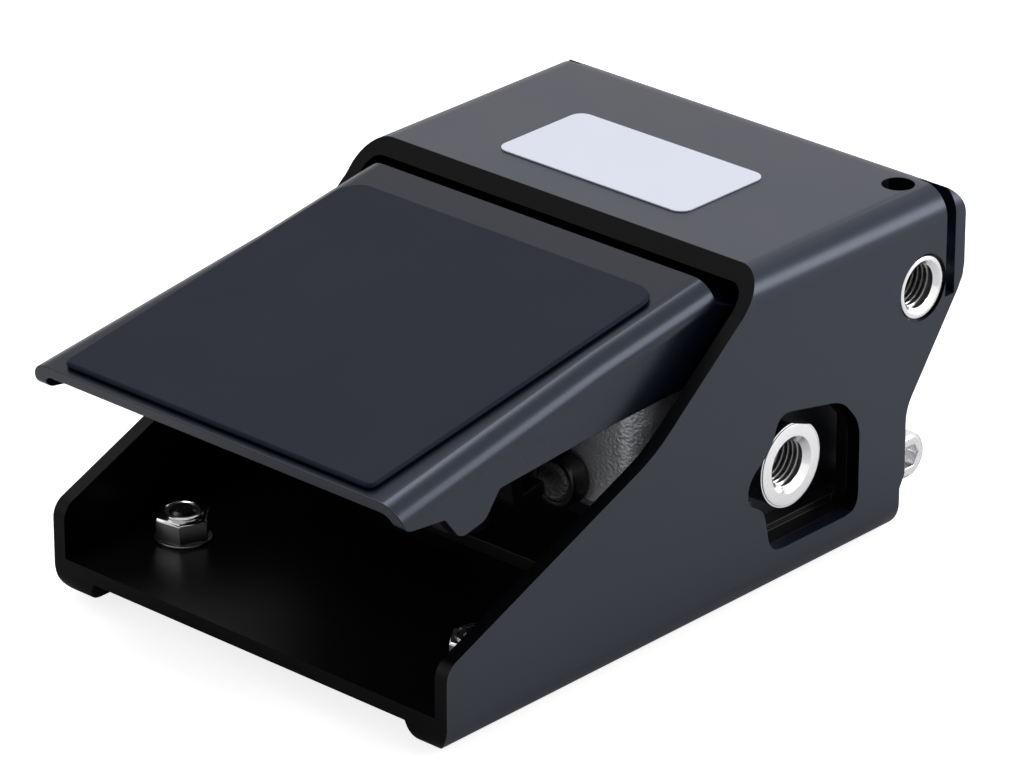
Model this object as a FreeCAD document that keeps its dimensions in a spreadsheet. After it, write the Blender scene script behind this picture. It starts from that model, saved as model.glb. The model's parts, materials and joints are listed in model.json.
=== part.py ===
import FreeCAD, Part
import math
import os
import Sketcher

# Pneumatic foot valve: a hooded black housing, a sprung pedal and a spool valve inside it.
# Millimetres, +Z up. -Y is the free end of the pedal, +X is the side with the two ports.
# Each piece is drawn with y = 0 at the front edge of the base, x = 0 in the middle plane and
# z = 0 under the side rails; the pieces of the pedal are drawn from the pivot's own axis.

SIZES = {
    # housing
    "body_width": 116.0, "hood_height": 77.7, "body_length": 166.2, "sheet": 3.4,
    "bend_radius": 7.0, "rear_bend": 8.0, "rail_round": 4.6, "floor_top": 8.7, "rail_width": 9.4,
    "rail_slope": 2.6, "foot_proud": 0.6, "pedal_overhang": 9.8,
    "lip_height": 20.6, "lip_radius": 4.6, "slope_end_back": 102.2, "slope_end_drop": 30.6,
    "slope_radius": 40.0, "brow_back": 74.9, "brow_drop": 8.6, "brow_lean": 6.4, "brow_radius": 5.0,
    "rear_foot_back": 18.9, "rear_step": 1.6, "rear_step_z": 10.5, "knee_z": 29.2,
    "knee_radius": 10.0, "shoulder_drop": 22.4, "back_open_drop": 23.7,
    "window_low_z": 10.3, "window_front_back": 64.2, "window_rear_back": 34.8,
    "window_top_front_z": 43.0, "window_top_rear_z": 38.6, "window_lobe_back": 72.0,
    "window_lobe_low_z": 22.9, "window_lobe_high_z": 30.0, "window_rear_high_z": 31.5,
    "window_round": 1.9,
    "slot_width": 3.1, "slot_low_drop": 25.7, "slot_inner_inset": 8.0,
    "access_radius": 3.7, "access_inset": 9.7, "access_back": 11.8,
    # inner frame
    "frame_sheet": 3.25, "frame_front_back": 103.6, "frame_rear_back": 22.4, "frame_top_drop": 7.3,
    "frame_toe_z": 20.0, "frame_brow_back": 66.2, "frame_brow_drop": 12.7,
    # ports
    "thread_radius": 5.7225, "low_mouth_radius": 6.5, "high_mouth_radius": 6.2, "port_mouth_depth": 1.2,
    "port_depth": 15.0, "boss_radius": 9.8, "boss_bevel": 0.3, "boss_flat": 9.2, "boss_flat_turn": 20.6,
    "shank_radius": 8.0, "shank_length": 12.0,
    "low_port_back": 53.3, "low_port_z": 26.6, "high_port_back": 14.2, "high_port_drop": 21.0,
    "high_ring_radius": 7.2, "high_gap": 0.6, "port_wall_gap": 0.3,
    "plug_back": 12.7, "plug_z": 14.4, "plug_radius": 5.4, "plug_out_inset": 3.5,
    "plug_socket": 2.5, "plug_socket_depth": 3.5, "plug_chamfer": 0.9,
    "plug_shank_radius": 4.0, "plug_shank": 8.0,
    # valve body
    "valve_front_back": 80.2, "valve_left_x": -14.0, "valve_right_inset": 11.2, "valve_top_z": 40.0,
    "valve_rear_back": 8.2, "tower_left_x": 16.0, "tower_right_inset": 7.5, "tower_front_back": 26.2,
    "tower_rear_back": 4.7, "tower_top_drop": 9.2, "valve_toe_z": 8.6, "valve_toe_back": 17.7,
    "cover_left_x": 26.7, "cover_front_back": 93.7, "cover_low_z": 22.7, "cover_top_drop": 22.2,
    "cover_round": 2.4, "cover_bevel": 1.2,
    "silencer_x": 26.0, "silencer_z": 29.4, "silencer_face_back": 98.7, "silencer_radius": 6.2,
    "silencer_head": 4.5, "silencer_core": 4.65, "silencer_neck": 4.2, "silencer_shank": 6.0,
    "core_depth": 3.2,
    # spool, plunger and springs
    "spool_x": 8.0, "spool_back": 70.2, "spool_bore": 6.0, "spool_clearance": 0.04,
    "bore_floor_z": 13.5, "spool_low_z": 27.0, "spool_length": 11.0, "spool_waist": 4.2,
    "land_length": 2.4, "seal_wire": 0.85,
    "stem_radius": 3.0, "stem_clearance": 0.05, "head_radius": 8.0, "head_thickness": 3.0,
    "head_top_drop": 18.4, "cap_radius": 11.0, "cap_thickness": 2.5, "cap_spigot": 1.8,
    "return_wire": 0.7, "return_mean": 6.4, "return_turns": 4.5,
    "spring_gap": 0.05, "spool_wire": 0.5, "spool_spring_mean": 4.2, "spool_spring_turns": 5.0,
    # pedal, from the pivot axis: along the plate and square to it
    "pivot_back": 38.2, "pivot_drop": 15.7, "pedal_tilt": 9.13, "pedal_gap": 0.35,
    "splay": 2.8, "splay_at": 70.0,
    "pedal_top": 19.5, "pedal_rear": 34.9, "pedal_bend": 5.8,
    "toe_drop": 6.8, "toe_lean": 1.5, "toe_round": 3.4, "ear_front": 119.5, "ear_rear": 111.5,
    "ear_low": 2.6,
    "ear_blend_front": 123.2, "ear_blend_rear": 106.0, "edge_front": 9.2, "edge_behind": 7.3,
    "waist_at": 51.0, "waist_low": 0.5, "arm_at": 12.0, "arm_radius": 8.0, "ear_round": 3.6,
    "arm_step": 5.0, "arm_shelf": 24.0,
    "pad_inset": 6.1, "pad_thickness": 1.5, "pad_front": 134.6, "pad_rear": 45.0,
    "pad_corner": 6.0,
    "pin_radius": 4.0, "pin_clearance": 0.05, "pin_gap": 0.3, "sleeve_wall": 2.0,
    "sleeve_gap": 0.1,
    "web_front": 40.0, "web_rear": 20.0, "web_low": 8.6, "web_at": 31.0,
    "screw_radius": 3.0, "screw_tip": 2.6, "screw_top": 13.6, "slot_cut": 1.2,
    "jam_flats": 10.0, "jam_height": 3.0,
    "stop_half_width": 28.5, "stop_at": 79.7, "stop_low": 22.0, "stop_foot": 6.5,
    "stop_shelf": 16.0, "bumper_radius": 7.0, "bumper_back": 99.7, "bumper_height": 2.2,
    # plate, feet and fasteners
    "label_wide": 54.7, "label_deep": 28.1, "label_x": -2.45, "label_back": 42.25,
    "label_thick": 0.4, "label_corner": 3.2,
    "foot_inset": 14.5, "foot_y": 24.8, "foot_rear_back": 32.2, "foot_rear_inset": 22.0,
    "foot_radius": 9.0, "foot_screw": 3.0, "foot_screw_head": 5.2, "foot_head_height": 3.0,
    "foot_hole": 3.3, "nut_flats": 11.4, "nut_height": 5.2, "nut_collar": 4.7,
    "nut_collar_height": 0.8, "washer_radius": 6.3, "washer_height": 0.6, "screw_proud": 0.4,
    "nut_turn": 38.5,
    "tie_screw": 2.5, "tie_head": 4.3, "tie_head_height": 2.8, "tie_reach": 9.0,
    "tie_back": 42.2, "tie_left_x": -6.0, "tie_right_inset": 32.0,
    "vent_radius": 3.0, "vent_depth": 3.2, "vent_head": 4.4, "vent_head_height": 2.0,
    "vent_inset": 13.0, "vent_socket": 1.6,
}

X_AXIS = FreeCAD.Vector(1, 0, 0)
Y_AXIS = FreeCAD.Vector(0, 1, 0)
Z_AXIS = FreeCAD.Vector(0, 0, 1)

doc = FreeCAD.newDocument("FootValve")
sheet = doc.addObject("Spreadsheet::Sheet", "Dim")
for row, (word, value) in enumerate(SIZES.items(), start=1):
    sheet.set("A%d" % row, word)
    sheet.set("B%d" % row, str(value))
    sheet.setAlias("B%d" % row, word)
doc.recompute()

nodes = {}


def value_of(expression):
    """Number that an expression on the sheet gives now."""
    found = sheet.evalExpression(expression)
    return float(getattr(found, "Value", found))


def new_body(name):
    """Empty body whose label is its file name."""
    body = doc.addObject("PartDesign::Body", name)
    body.Label = name
    nodes[name] = body
    return body


def bind_vector(item, path, expressions):
    """Ties the three parts of a vector property to the sheet."""
    for letter, expression in zip("xyz", expressions):
        if expression != "0":
            item.setExpression("%s.%s" % (path, letter), expression)


def place(item, x="0", y="0", z="0", axis=Z_AXIS, angle="0"):
    """Sets a piece down; y counts from the front edge of the base."""
    item.Placement = FreeCAD.Placement(FreeCAD.Vector(), FreeCAD.Rotation(axis, value_of(angle)))
    front = "(Dim.pedal_overhang - Dim.body_length) / 2"
    bind_vector(item, "Placement.Base", (x, "%s + %s" % (front, y), "Dim.foot_proud + %s" % z))
    if angle not in ("0", "90", "-90"):
        item.setExpression("Placement.Rotation.Angle", "%s * 1 deg" % angle)


def place_on_pedal(item, up="0", along="0"):
    """Sets a piece down in the pedal's own frame: along the plate and square to it."""
    tilt = "Dim.pedal_tilt * 1 deg"
    y = f"{PIVOT_Y} + (%s) * cos(%s) - (%s) * sin(%s)" % (along, tilt, up, tilt)
    z = f"{PIVOT_Z} + (%s) * sin(%s) + (%s) * cos(%s)" % (along, tilt, up, tilt)
    place(item, "0", y, z, X_AXIS, "Dim.pedal_tilt")


def sketch_on(body, role, offset="0"):
    """Sketch on one of the body's own origin planes, moved along its normal."""
    sketch = body.newObject("Sketcher::SketchObject", body.Name + "_outline")
    plane = [item for item in body.Origin.OriginFeatures if item.Role == role][0]
    sketch.AttachmentSupport = (plane, [""])
    sketch.MapMode = "FlatFace"
    if offset != "0":
        sketch.setExpression("AttachmentOffset.Base.z", offset)
    return sketch


def tie_point(sketch, geometry, point, x, y):
    """Fixes a point of a sketch at two expressions on the sheet."""
    for kind, expression in (("DistanceX", x), ("DistanceY", y)):
        number = value_of(expression)
        index = sketch.addConstraint(Sketcher.Constraint(kind, -1, 1, geometry, point, number))
        sketch.setExpression("Constraints[%d]" % index, expression)


def outline(sketch, corners):
    """Closed outline of straight lines through corners given as pairs of expressions."""
    first = sketch.GeometryCount
    places = [FreeCAD.Vector(value_of(x), value_of(y), 0) for x, y in corners]
    count = len(corners)
    for index in range(count):
        line = Part.LineSegment(places[index], places[(index + 1) % count])
        sketch.addGeometry(line, False)
    for index, (x, y) in enumerate(corners):
        after = first + (index + 1) % count
        sketch.addConstraint(Sketcher.Constraint("Coincident", first + index, 2, after, 1))
        tie_point(sketch, first + index, 1, x, y)
    return sketch


def box_outline(sketch, low_x, low_y, high_x, high_y):
    """Rectangle between two corners."""
    corners = [(low_x, low_y), (high_x, low_y), (high_x, high_y), (low_x, high_y)]
    return outline(sketch, corners)


def circle(sketch, x, y, radius):
    """Circle with its centre and radius on the sheet."""
    centre = FreeCAD.Vector(value_of(x), value_of(y), 0)
    shape = Part.Circle(centre, Z_AXIS, value_of(radius))
    index = sketch.addGeometry(shape, False)
    tie_point(sketch, index, 3, x, y)
    size = sketch.addConstraint(Sketcher.Constraint("Radius", index, value_of(radius)))
    sketch.setExpression("Constraints[%d]" % size, radius)
    return sketch


def hexagon(sketch, x, y, flats):
    """Hexagon with two flats square to the sketch's x axis."""
    corner = "(%s) / 2 / cos(30 deg)" % flats
    corners = []
    for step in range(6):
        turn = "%d deg" % (30 + 60 * step)
        corners.append(("%s + %s * cos(%s)" % (x, corner, turn),
                        "%s + %s * sin(%s)" % (y, corner, turn)))
    return outline(sketch, corners)


def grow(body, sketch, length, back=False, both=False):
    """Pads a sketch; back runs it against the sketch's normal."""
    doc.recompute()
    feature = body.newObject("PartDesign::Pad", body.Name + "_pad")
    feature.Profile = (sketch, [""])
    feature.Length = value_of(length)
    feature.setExpression("Length", length)
    feature.Reversed = back
    if both:
        feature.SideType = "Symmetric"
    doc.recompute()
    return feature


def cut(body, sketch, length, back=False, both=False):
    """Pockets a sketch and makes sure that metal went."""
    before = body.Shape.Volume
    doc.recompute()
    feature = body.newObject("PartDesign::Pocket", body.Name + "_cut")
    feature.Profile = (sketch, [""])
    feature.Length = value_of(length)
    feature.setExpression("Length", length)
    feature.Reversed = back
    if both:
        feature.SideType = "Symmetric"
    doc.recompute()
    if body.Shape.Volume > before - 0.01:
        raise ValueError("%s: %s removes nothing" % (body.Label, feature.Name))
    return feature


def turn(body, profile):
    """Turns an outline of (radius, height) corners about the body's own Z axis."""
    sketch = outline(sketch_on(body, "XZ_Plane"), profile)
    doc.recompute()
    feature = body.newObject("PartDesign::Revolution", body.Name + "_turned")
    feature.Profile = (sketch, [""])
    feature.ReferenceAxis = (sketch, ["V_Axis"])
    doc.recompute()
    return feature


def middle(edge):
    """Middle point of an edge, from its bounding box."""
    return edge.BoundBox.Center


def runs_along(edge, axis):
    """True where an edge is straight and runs along an axis."""
    box = edge.BoundBox
    span = FreeCAD.Vector(box.XLength, box.YLength, box.ZLength)
    return span.Length - abs(span.dot(axis)) < 1e-4 and abs(span.Length - edge.Length) < 1e-3


def soften(body, radius, wanted, kind="Fillet"):
    """Rounds or bevels the edges of the body's tip that a test picks."""
    doc.recompute()
    base = body.Tip
    names = ["Edge%d" % (index + 1) for index, edge in enumerate(base.Shape.Edges) if wanted(edge)]
    if not names:
        raise ValueError("%s: no edge to soften" % body.Label)
    feature = body.newObject("PartDesign::" + kind, body.Name + "_soft")
    feature.Base = (base, names)
    name = "Radius" if kind == "Fillet" else "Size"
    setattr(feature, name, value_of(radius))
    feature.setExpression(name, radius)
    doc.recompute()
    return feature


def near(first, second, reach=0.05):
    """True where two numbers agree."""
    return abs(first - second) < reach


# places that follow the back, the top and the sides of the housing
FRAME_FRONT_Y = "(Dim.body_length - Dim.frame_front_back)"
FRAME_REAR_Y = "(Dim.body_length - Dim.frame_rear_back)"
FRAME_BROW_Y = "(Dim.body_length - Dim.frame_brow_back)"
REAR_FOOT_Y = "(Dim.body_length - Dim.rear_foot_back)"
WINDOW_FRONT_Y = "(Dim.body_length - Dim.window_front_back)"
WINDOW_REAR_Y = "(Dim.body_length - Dim.window_rear_back)"
WINDOW_LOBE_Y = "(Dim.body_length - Dim.window_lobe_back)"
ACCESS_Y = "(Dim.body_length - Dim.access_back)"
LOW_PORT_Y = "(Dim.body_length - Dim.low_port_back)"
HIGH_PORT_Y = "(Dim.body_length - Dim.high_port_back)"
PLUG_Y = "(Dim.body_length - Dim.plug_back)"
VALVE_FRONT_Y = "(Dim.body_length - Dim.valve_front_back)"
VALVE_REAR_Y = "(Dim.body_length - Dim.valve_rear_back)"
TOWER_FRONT_Y = "(Dim.body_length - Dim.tower_front_back)"
TOWER_REAR_Y = "(Dim.body_length - Dim.tower_rear_back)"
VALVE_TOE_Y = "(Dim.body_length - Dim.valve_toe_back)"
COVER_FRONT_Y = "(Dim.body_length - Dim.cover_front_back)"
SILENCER_FACE_Y = "(Dim.body_length - Dim.silencer_face_back)"
SPOOL_Y = "(Dim.body_length - Dim.spool_back)"
PIVOT_Y = "(Dim.body_length - Dim.pivot_back)"
BUMPER_Y = "(Dim.body_length - Dim.bumper_back)"
LABEL_Y = "(Dim.body_length - Dim.label_back)"
FOOT_REAR_Y = "(Dim.body_length - Dim.foot_rear_back)"
TIE_Y = "(Dim.body_length - Dim.tie_back)"
SLOPE_END_Y = "(Dim.body_length - Dim.slope_end_back)"
BROW_Y = "(Dim.body_length - Dim.brow_back)"
BROW_Z = "(Dim.hood_height - Dim.brow_drop)"
FRAME_TOP_Z = "(Dim.hood_height - Dim.frame_top_drop)"
FRAME_BROW_Z = "(Dim.hood_height - Dim.frame_brow_drop)"
SHOULDER_Z = "(Dim.hood_height - Dim.shoulder_drop)"
BACK_OPEN_Z = "(Dim.hood_height - Dim.back_open_drop)"
SLOT_LOW_Z = "(Dim.hood_height - Dim.slot_low_drop)"
HIGH_PORT_Z = "(Dim.hood_height - Dim.high_port_drop)"
TOWER_TOP_Z = "(Dim.hood_height - Dim.tower_top_drop)"
PIVOT_Z = "(Dim.hood_height - Dim.pivot_drop)"
HEAD_TOP_Z = "(Dim.hood_height - Dim.head_top_drop)"
COVER_TOP_Z = "(Dim.hood_height - Dim.cover_top_drop)"
SLOPE_END_Z = "(Dim.hood_height - Dim.slope_end_drop)"
FOOT_X = "(Dim.body_width / 2 - Dim.foot_inset)"
FOOT_REAR_X = "(Dim.body_width / 2 - Dim.foot_rear_inset)"
SLOT_INNER_X = "(Dim.body_width / 2 - Dim.slot_inner_inset)"
ACCESS_X = "(Dim.body_width / 2 - Dim.access_inset)"
VALVE_RIGHT_X = "(Dim.body_width / 2 - Dim.valve_right_inset)"
TOWER_RIGHT_X = "(Dim.body_width / 2 - Dim.tower_right_inset)"
VENT_X = "(Dim.body_width / 2 - Dim.vent_inset)"
PLUG_OUT = "(Dim.body_width / 2 - Dim.plug_out_inset)"
TIE_RIGHT_X = "(Dim.body_width / 2 - Dim.tie_right_inset)"
PEDAL_HALF = "(Dim.body_width / 2 - Dim.sheet - Dim.frame_sheet - Dim.pedal_gap)"
PAD_HALF = "(%s - Dim.pad_inset)" % PEDAL_HALF
PIN_REACH = "(Dim.body_width / 2 - Dim.sheet - Dim.pin_gap)"
HALF = "Dim.body_width / 2"
INNER = "(Dim.body_width / 2 - Dim.sheet)"
FRAME_INNER = "(Dim.body_width / 2 - Dim.sheet - Dim.frame_sheet)"
FLOOR_LOW = "(Dim.floor_top - Dim.sheet)"
BACK_Y = "(Dim.body_length - Dim.sheet)"
FRAME_TOP = "(Dim.floor_top + Dim.frame_sheet)"
SCREW_RISE = "(Dim.washer_height + Dim.nut_height + Dim.nut_collar_height + Dim.screw_proud)"


def window_corners():
    """Opening round the low port: a tall window with a lobe on its front side."""
    return [
        (WINDOW_FRONT_Y, "Dim.window_low_z"),
        (WINDOW_REAR_Y, "Dim.window_low_z"),
        (WINDOW_REAR_Y, "Dim.window_rear_high_z"),
        (f"{WINDOW_REAR_Y} - 6", "Dim.window_top_rear_z"),
        (f"{WINDOW_FRONT_Y} + 2", "Dim.window_top_front_z"),
        (WINDOW_FRONT_Y, "Dim.window_lobe_high_z + 5.5"),
        (WINDOW_LOBE_Y, "Dim.window_lobe_high_z"),
        (WINDOW_LOBE_Y, "Dim.window_lobe_low_z"),
        (f"{WINDOW_FRONT_Y} - 2.6", "Dim.window_lobe_low_z"),
    ]


def side_cut(body, corners, width="Dim.body_width + 2"):
    """Cuts an outline, seen from the side, right across the body."""
    return cut(body, outline(sketch_on(body, "YZ_Plane"), corners), width, both=True)


def round_side_corner(body, corner, centre, radius):
    """Rounds a square corner of the side view; the cut's sketch holds the true arc."""
    sketch = sketch_on(body, "YZ_Plane")
    start = (centre[0], corner[1])
    end = (corner[0], centre[1])
    spots = [FreeCAD.Vector(value_of(y), value_of(z), 0) for y, z in (start, corner, end)]
    first = sketch.addGeometry(Part.LineSegment(spots[0], spots[1]), False)
    second = sketch.addGeometry(Part.LineSegment(spots[1], spots[2]), False)
    sketch.addConstraint(Sketcher.Constraint("Coincident", first, 2, second, 1))
    tie_point(sketch, first, 1, *start)
    tie_point(sketch, second, 1, *corner)
    tie_point(sketch, second, 2, *end)
    middle_of_arc = FreeCAD.Vector(value_of(centre[0]), value_of(centre[1]), 0)
    towards = spots[1] - middle_of_arc
    bulge = middle_of_arc + towards.normalize() * value_of(radius)
    arc = sketch.addGeometry(Part.Arc(spots[2], bulge, spots[0]), False)
    ends = (1, 2)
    if (sketch.getPoint(arc, 1) - spots[2]).Length > 0.01:
        ends = (2, 1)
    sketch.addConstraint(Sketcher.Constraint("Coincident", arc, ends[0], second, 2))
    sketch.addConstraint(Sketcher.Constraint("Coincident", arc, ends[1], first, 1))
    size = sketch.addConstraint(Sketcher.Constraint("Radius", arc, value_of(radius)))
    sketch.setExpression("Constraints[%d]" % size, radius)
    return cut(body, sketch, "Dim.body_width + 2", both=True)


# housing: one bent and machined shell with floor, walls, hood and back
def make_housing():
    body = new_body("housing")
    section = box_outline(sketch_on(body, "XZ_Plane"), "-" + HALF, "0", HALF, "Dim.hood_height")
    grow(body, section, "Dim.body_length", back=True)
    soften(body, "Dim.bend_radius", lambda edge: runs_along(edge, Y_AXIS))
    round_side_corner(body, ("Dim.body_length", "Dim.hood_height"),
                      ("Dim.body_length - Dim.rear_bend", "Dim.hood_height - Dim.rear_bend"),
                      "Dim.rear_bend")
    round_side_corner(body, ("0", "0"), ("Dim.rail_round", "Dim.rail_round"), "Dim.rail_round")
    rail = "(%s - Dim.rail_width)" % HALF
    recess = [("-" + rail, "-1"), (rail, "-1"), (rail, "0"),
              ("%s - Dim.rail_slope" % rail, FLOOR_LOW),
              ("-%s + Dim.rail_slope" % rail, FLOOR_LOW), ("-" + rail, "0")]
    cut(body, outline(sketch_on(body, "XZ_Plane"), recess), "Dim.body_length + 1")
    hollow = box_outline(sketch_on(body, "XZ_Plane"), "-" + INNER, "Dim.floor_top",
                         INNER, "Dim.hood_height - Dim.sheet")
    cut(body, hollow, BACK_Y)
    inside = value_of(INNER)
    ceiling = value_of("Dim.hood_height - Dim.sheet")

    def inner_top(edge):
        centre = middle(edge)
        return (runs_along(edge, Y_AXIS) and near(abs(centre.x), inside)
                and near(centre.z, ceiling))

    soften(body, "Dim.bend_radius - Dim.sheet", inner_top)
    # opening at the back, under the back plate
    rear_opening = [("Dim.body_length - 20", "Dim.floor_top"),
                    ("Dim.body_length + 5", "Dim.floor_top"),
                    ("Dim.body_length + 5", BACK_OPEN_Z),
                    ("Dim.body_length - 20", BACK_OPEN_Z)]
    side_cut(body, rear_opening, "2 * %s" % INNER)
    # front: low side walls that rise to the hood
    slope_foot = "Dim.lip_height"
    front = [("-5", slope_foot), ("0", slope_foot), (SLOPE_END_Y, SLOPE_END_Z),
             (BROW_Y, BROW_Z),
             (f"{BROW_Y} + Dim.brow_lean", "Dim.hood_height + 2"),
             ("-5", "Dim.hood_height + 2")]
    side_cut(body, front)
    # rear: the walls are cut back below the shoulder
    rear_cut = [(f"{REAR_FOOT_Y} - Dim.rear_step", "-2"),
                (f"{REAR_FOOT_Y} - Dim.rear_step", "Dim.rear_step_z"),
                (REAR_FOOT_Y, "Dim.rear_step_z + 3"),
                (REAR_FOOT_Y, "Dim.knee_z"),
                ("Dim.body_length - 2.2", f"{SHOULDER_Z} - 3"),
                ("Dim.body_length - 0.5", SHOULDER_Z),
                ("Dim.body_length", f"{SHOULDER_Z} + 3"),
                ("Dim.body_length + 5", f"{SHOULDER_Z} + 3"), ("Dim.body_length + 5", "-2")]
    side_cut(body, rear_cut)

    def at_side(y, z):
        place_y = value_of(y)
        place_z = value_of(z)

        def wanted(edge):
            centre = middle(edge)
            return (runs_along(edge, X_AXIS) and near(centre.y, place_y)
                    and near(centre.z, place_z))
        return wanted

    soften(body, "Dim.lip_radius", at_side("0", slope_foot))
    soften(body, "Dim.slope_radius", at_side(SLOPE_END_Y, SLOPE_END_Z))
    soften(body, "Dim.brow_radius", at_side(BROW_Y, BROW_Z))
    soften(body, "Dim.knee_radius", at_side(REAR_FOOT_Y, "Dim.knee_z"))
    # window for the low port, right wall only
    window = outline(sketch_on(body, "YZ_Plane", HALF + " + 1"), window_corners())
    cut(body, window, "Dim.sheet + 2")
    front_y = value_of(WINDOW_LOBE_Y)
    rear_y = value_of(WINDOW_REAR_Y)
    low_z = value_of("Dim.window_low_z")
    high_z = value_of("Dim.window_top_front_z")

    def window_edge(edge):
        centre = middle(edge)
        inside_box = (front_y - 1 < centre.y < rear_y + 1) and (low_z - 1 < centre.z < high_z + 1)
        return runs_along(edge, X_AXIS) and inside_box and centre.x > 0

    soften(body, "Dim.window_round", window_edge)
    # notch round the high port, and the slots between the walls and the back plate
    notch = circle(sketch_on(body, "YZ_Plane", HALF + " + 1"), HIGH_PORT_Y,
                   HIGH_PORT_Z, "Dim.high_ring_radius + Dim.high_gap")
    cut(body, notch, "Dim.sheet + 2")
    for side in ("1", "-1"):
        start = "%s - Dim.slot_width" % BACK_Y
        slot = box_outline(sketch_on(body, "XZ_Plane", "-(%s)" % start),
                           side + f" * {SLOT_INNER_X}", SLOT_LOW_Z,
                           side + " * (%s + 2)" % HALF, "Dim.hood_height + 2")
        cut(body, slot, "Dim.slot_width")
    access = circle(sketch_on(body, "XY_Plane", "Dim.hood_height + 1"), ACCESS_X,
                    ACCESS_Y, "Dim.access_radius")
    cut(body, access, "Dim.sheet + 2")
    # round pockets in the rails for the feet
    pockets = sketch_on(body, "XY_Plane", FLOOR_LOW)
    for x, y in foot_places():
        circle(pockets, x, y, "Dim.foot_radius + 0.3")
    cut(body, pockets, FLOOR_LOW + " + 1")
    holes = sketch_on(body, "XY_Plane", "Dim.floor_top + 1")
    for x, y in foot_places():
        circle(holes, x, y, "Dim.foot_hole")
    for x in ("Dim.tie_left_x", TIE_RIGHT_X):
        circle(holes, x, TIE_Y, "Dim.tie_screw + 0.2")
    cut(body, holes, "Dim.sheet + 2")
    place(body)


def foot_places():
    """Centres of the four foot screws."""
    return [(FOOT_X, "Dim.foot_y"), (f"-{FOOT_X}", "Dim.foot_y"),
            (FOOT_REAR_X, FOOT_REAR_Y), (f"-{FOOT_REAR_X}", FOOT_REAR_Y)]


# inner frame: a U of sheet that carries the valve and the pedal's pin
def make_inner_frame():
    body = new_body("inner_frame")
    side = [(FRAME_FRONT_Y, "Dim.floor_top"), (FRAME_REAR_Y, "Dim.floor_top"),
            (FRAME_REAR_Y, FRAME_TOP_Z), (f"{FRAME_BROW_Y} + 6", FRAME_TOP_Z),
            (FRAME_BROW_Y, FRAME_BROW_Z), (f"{FRAME_FRONT_Y} + 4", "Dim.frame_toe_z"),
            (FRAME_FRONT_Y, "Dim.frame_toe_z - 6")]
    grow(body, outline(sketch_on(body, "YZ_Plane"), side), "2 * " + INNER, both=True)
    hollow = box_outline(sketch_on(body, "XZ_Plane"), "-" + FRAME_INNER, FRAME_TOP,
                         FRAME_INNER, "Dim.hood_height")
    cut(body, hollow, "Dim.body_length")
    window = outline(sketch_on(body, "YZ_Plane", HALF), window_corners())
    cut(body, window, "%s - %s + 1" % (HALF, FRAME_INNER))
    pin = circle(sketch_on(body, "YZ_Plane"), PIVOT_Y, PIVOT_Z, "Dim.pin_radius")
    cut(body, pin, "Dim.body_width", both=True)
    holes = sketch_on(body, "XY_Plane", FRAME_TOP + " + 1")
    for x, y in foot_places()[2:]:
        circle(holes, x, y, "Dim.foot_hole")
    for x in ("Dim.tie_left_x", TIE_RIGHT_X):
        circle(holes, x, TIE_Y, "Dim.tie_screw + 0.2")
    circle(holes, "0", BUMPER_Y, "2.5")
    cut(body, holes, "Dim.frame_sheet + 2")
    place(body)


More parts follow.
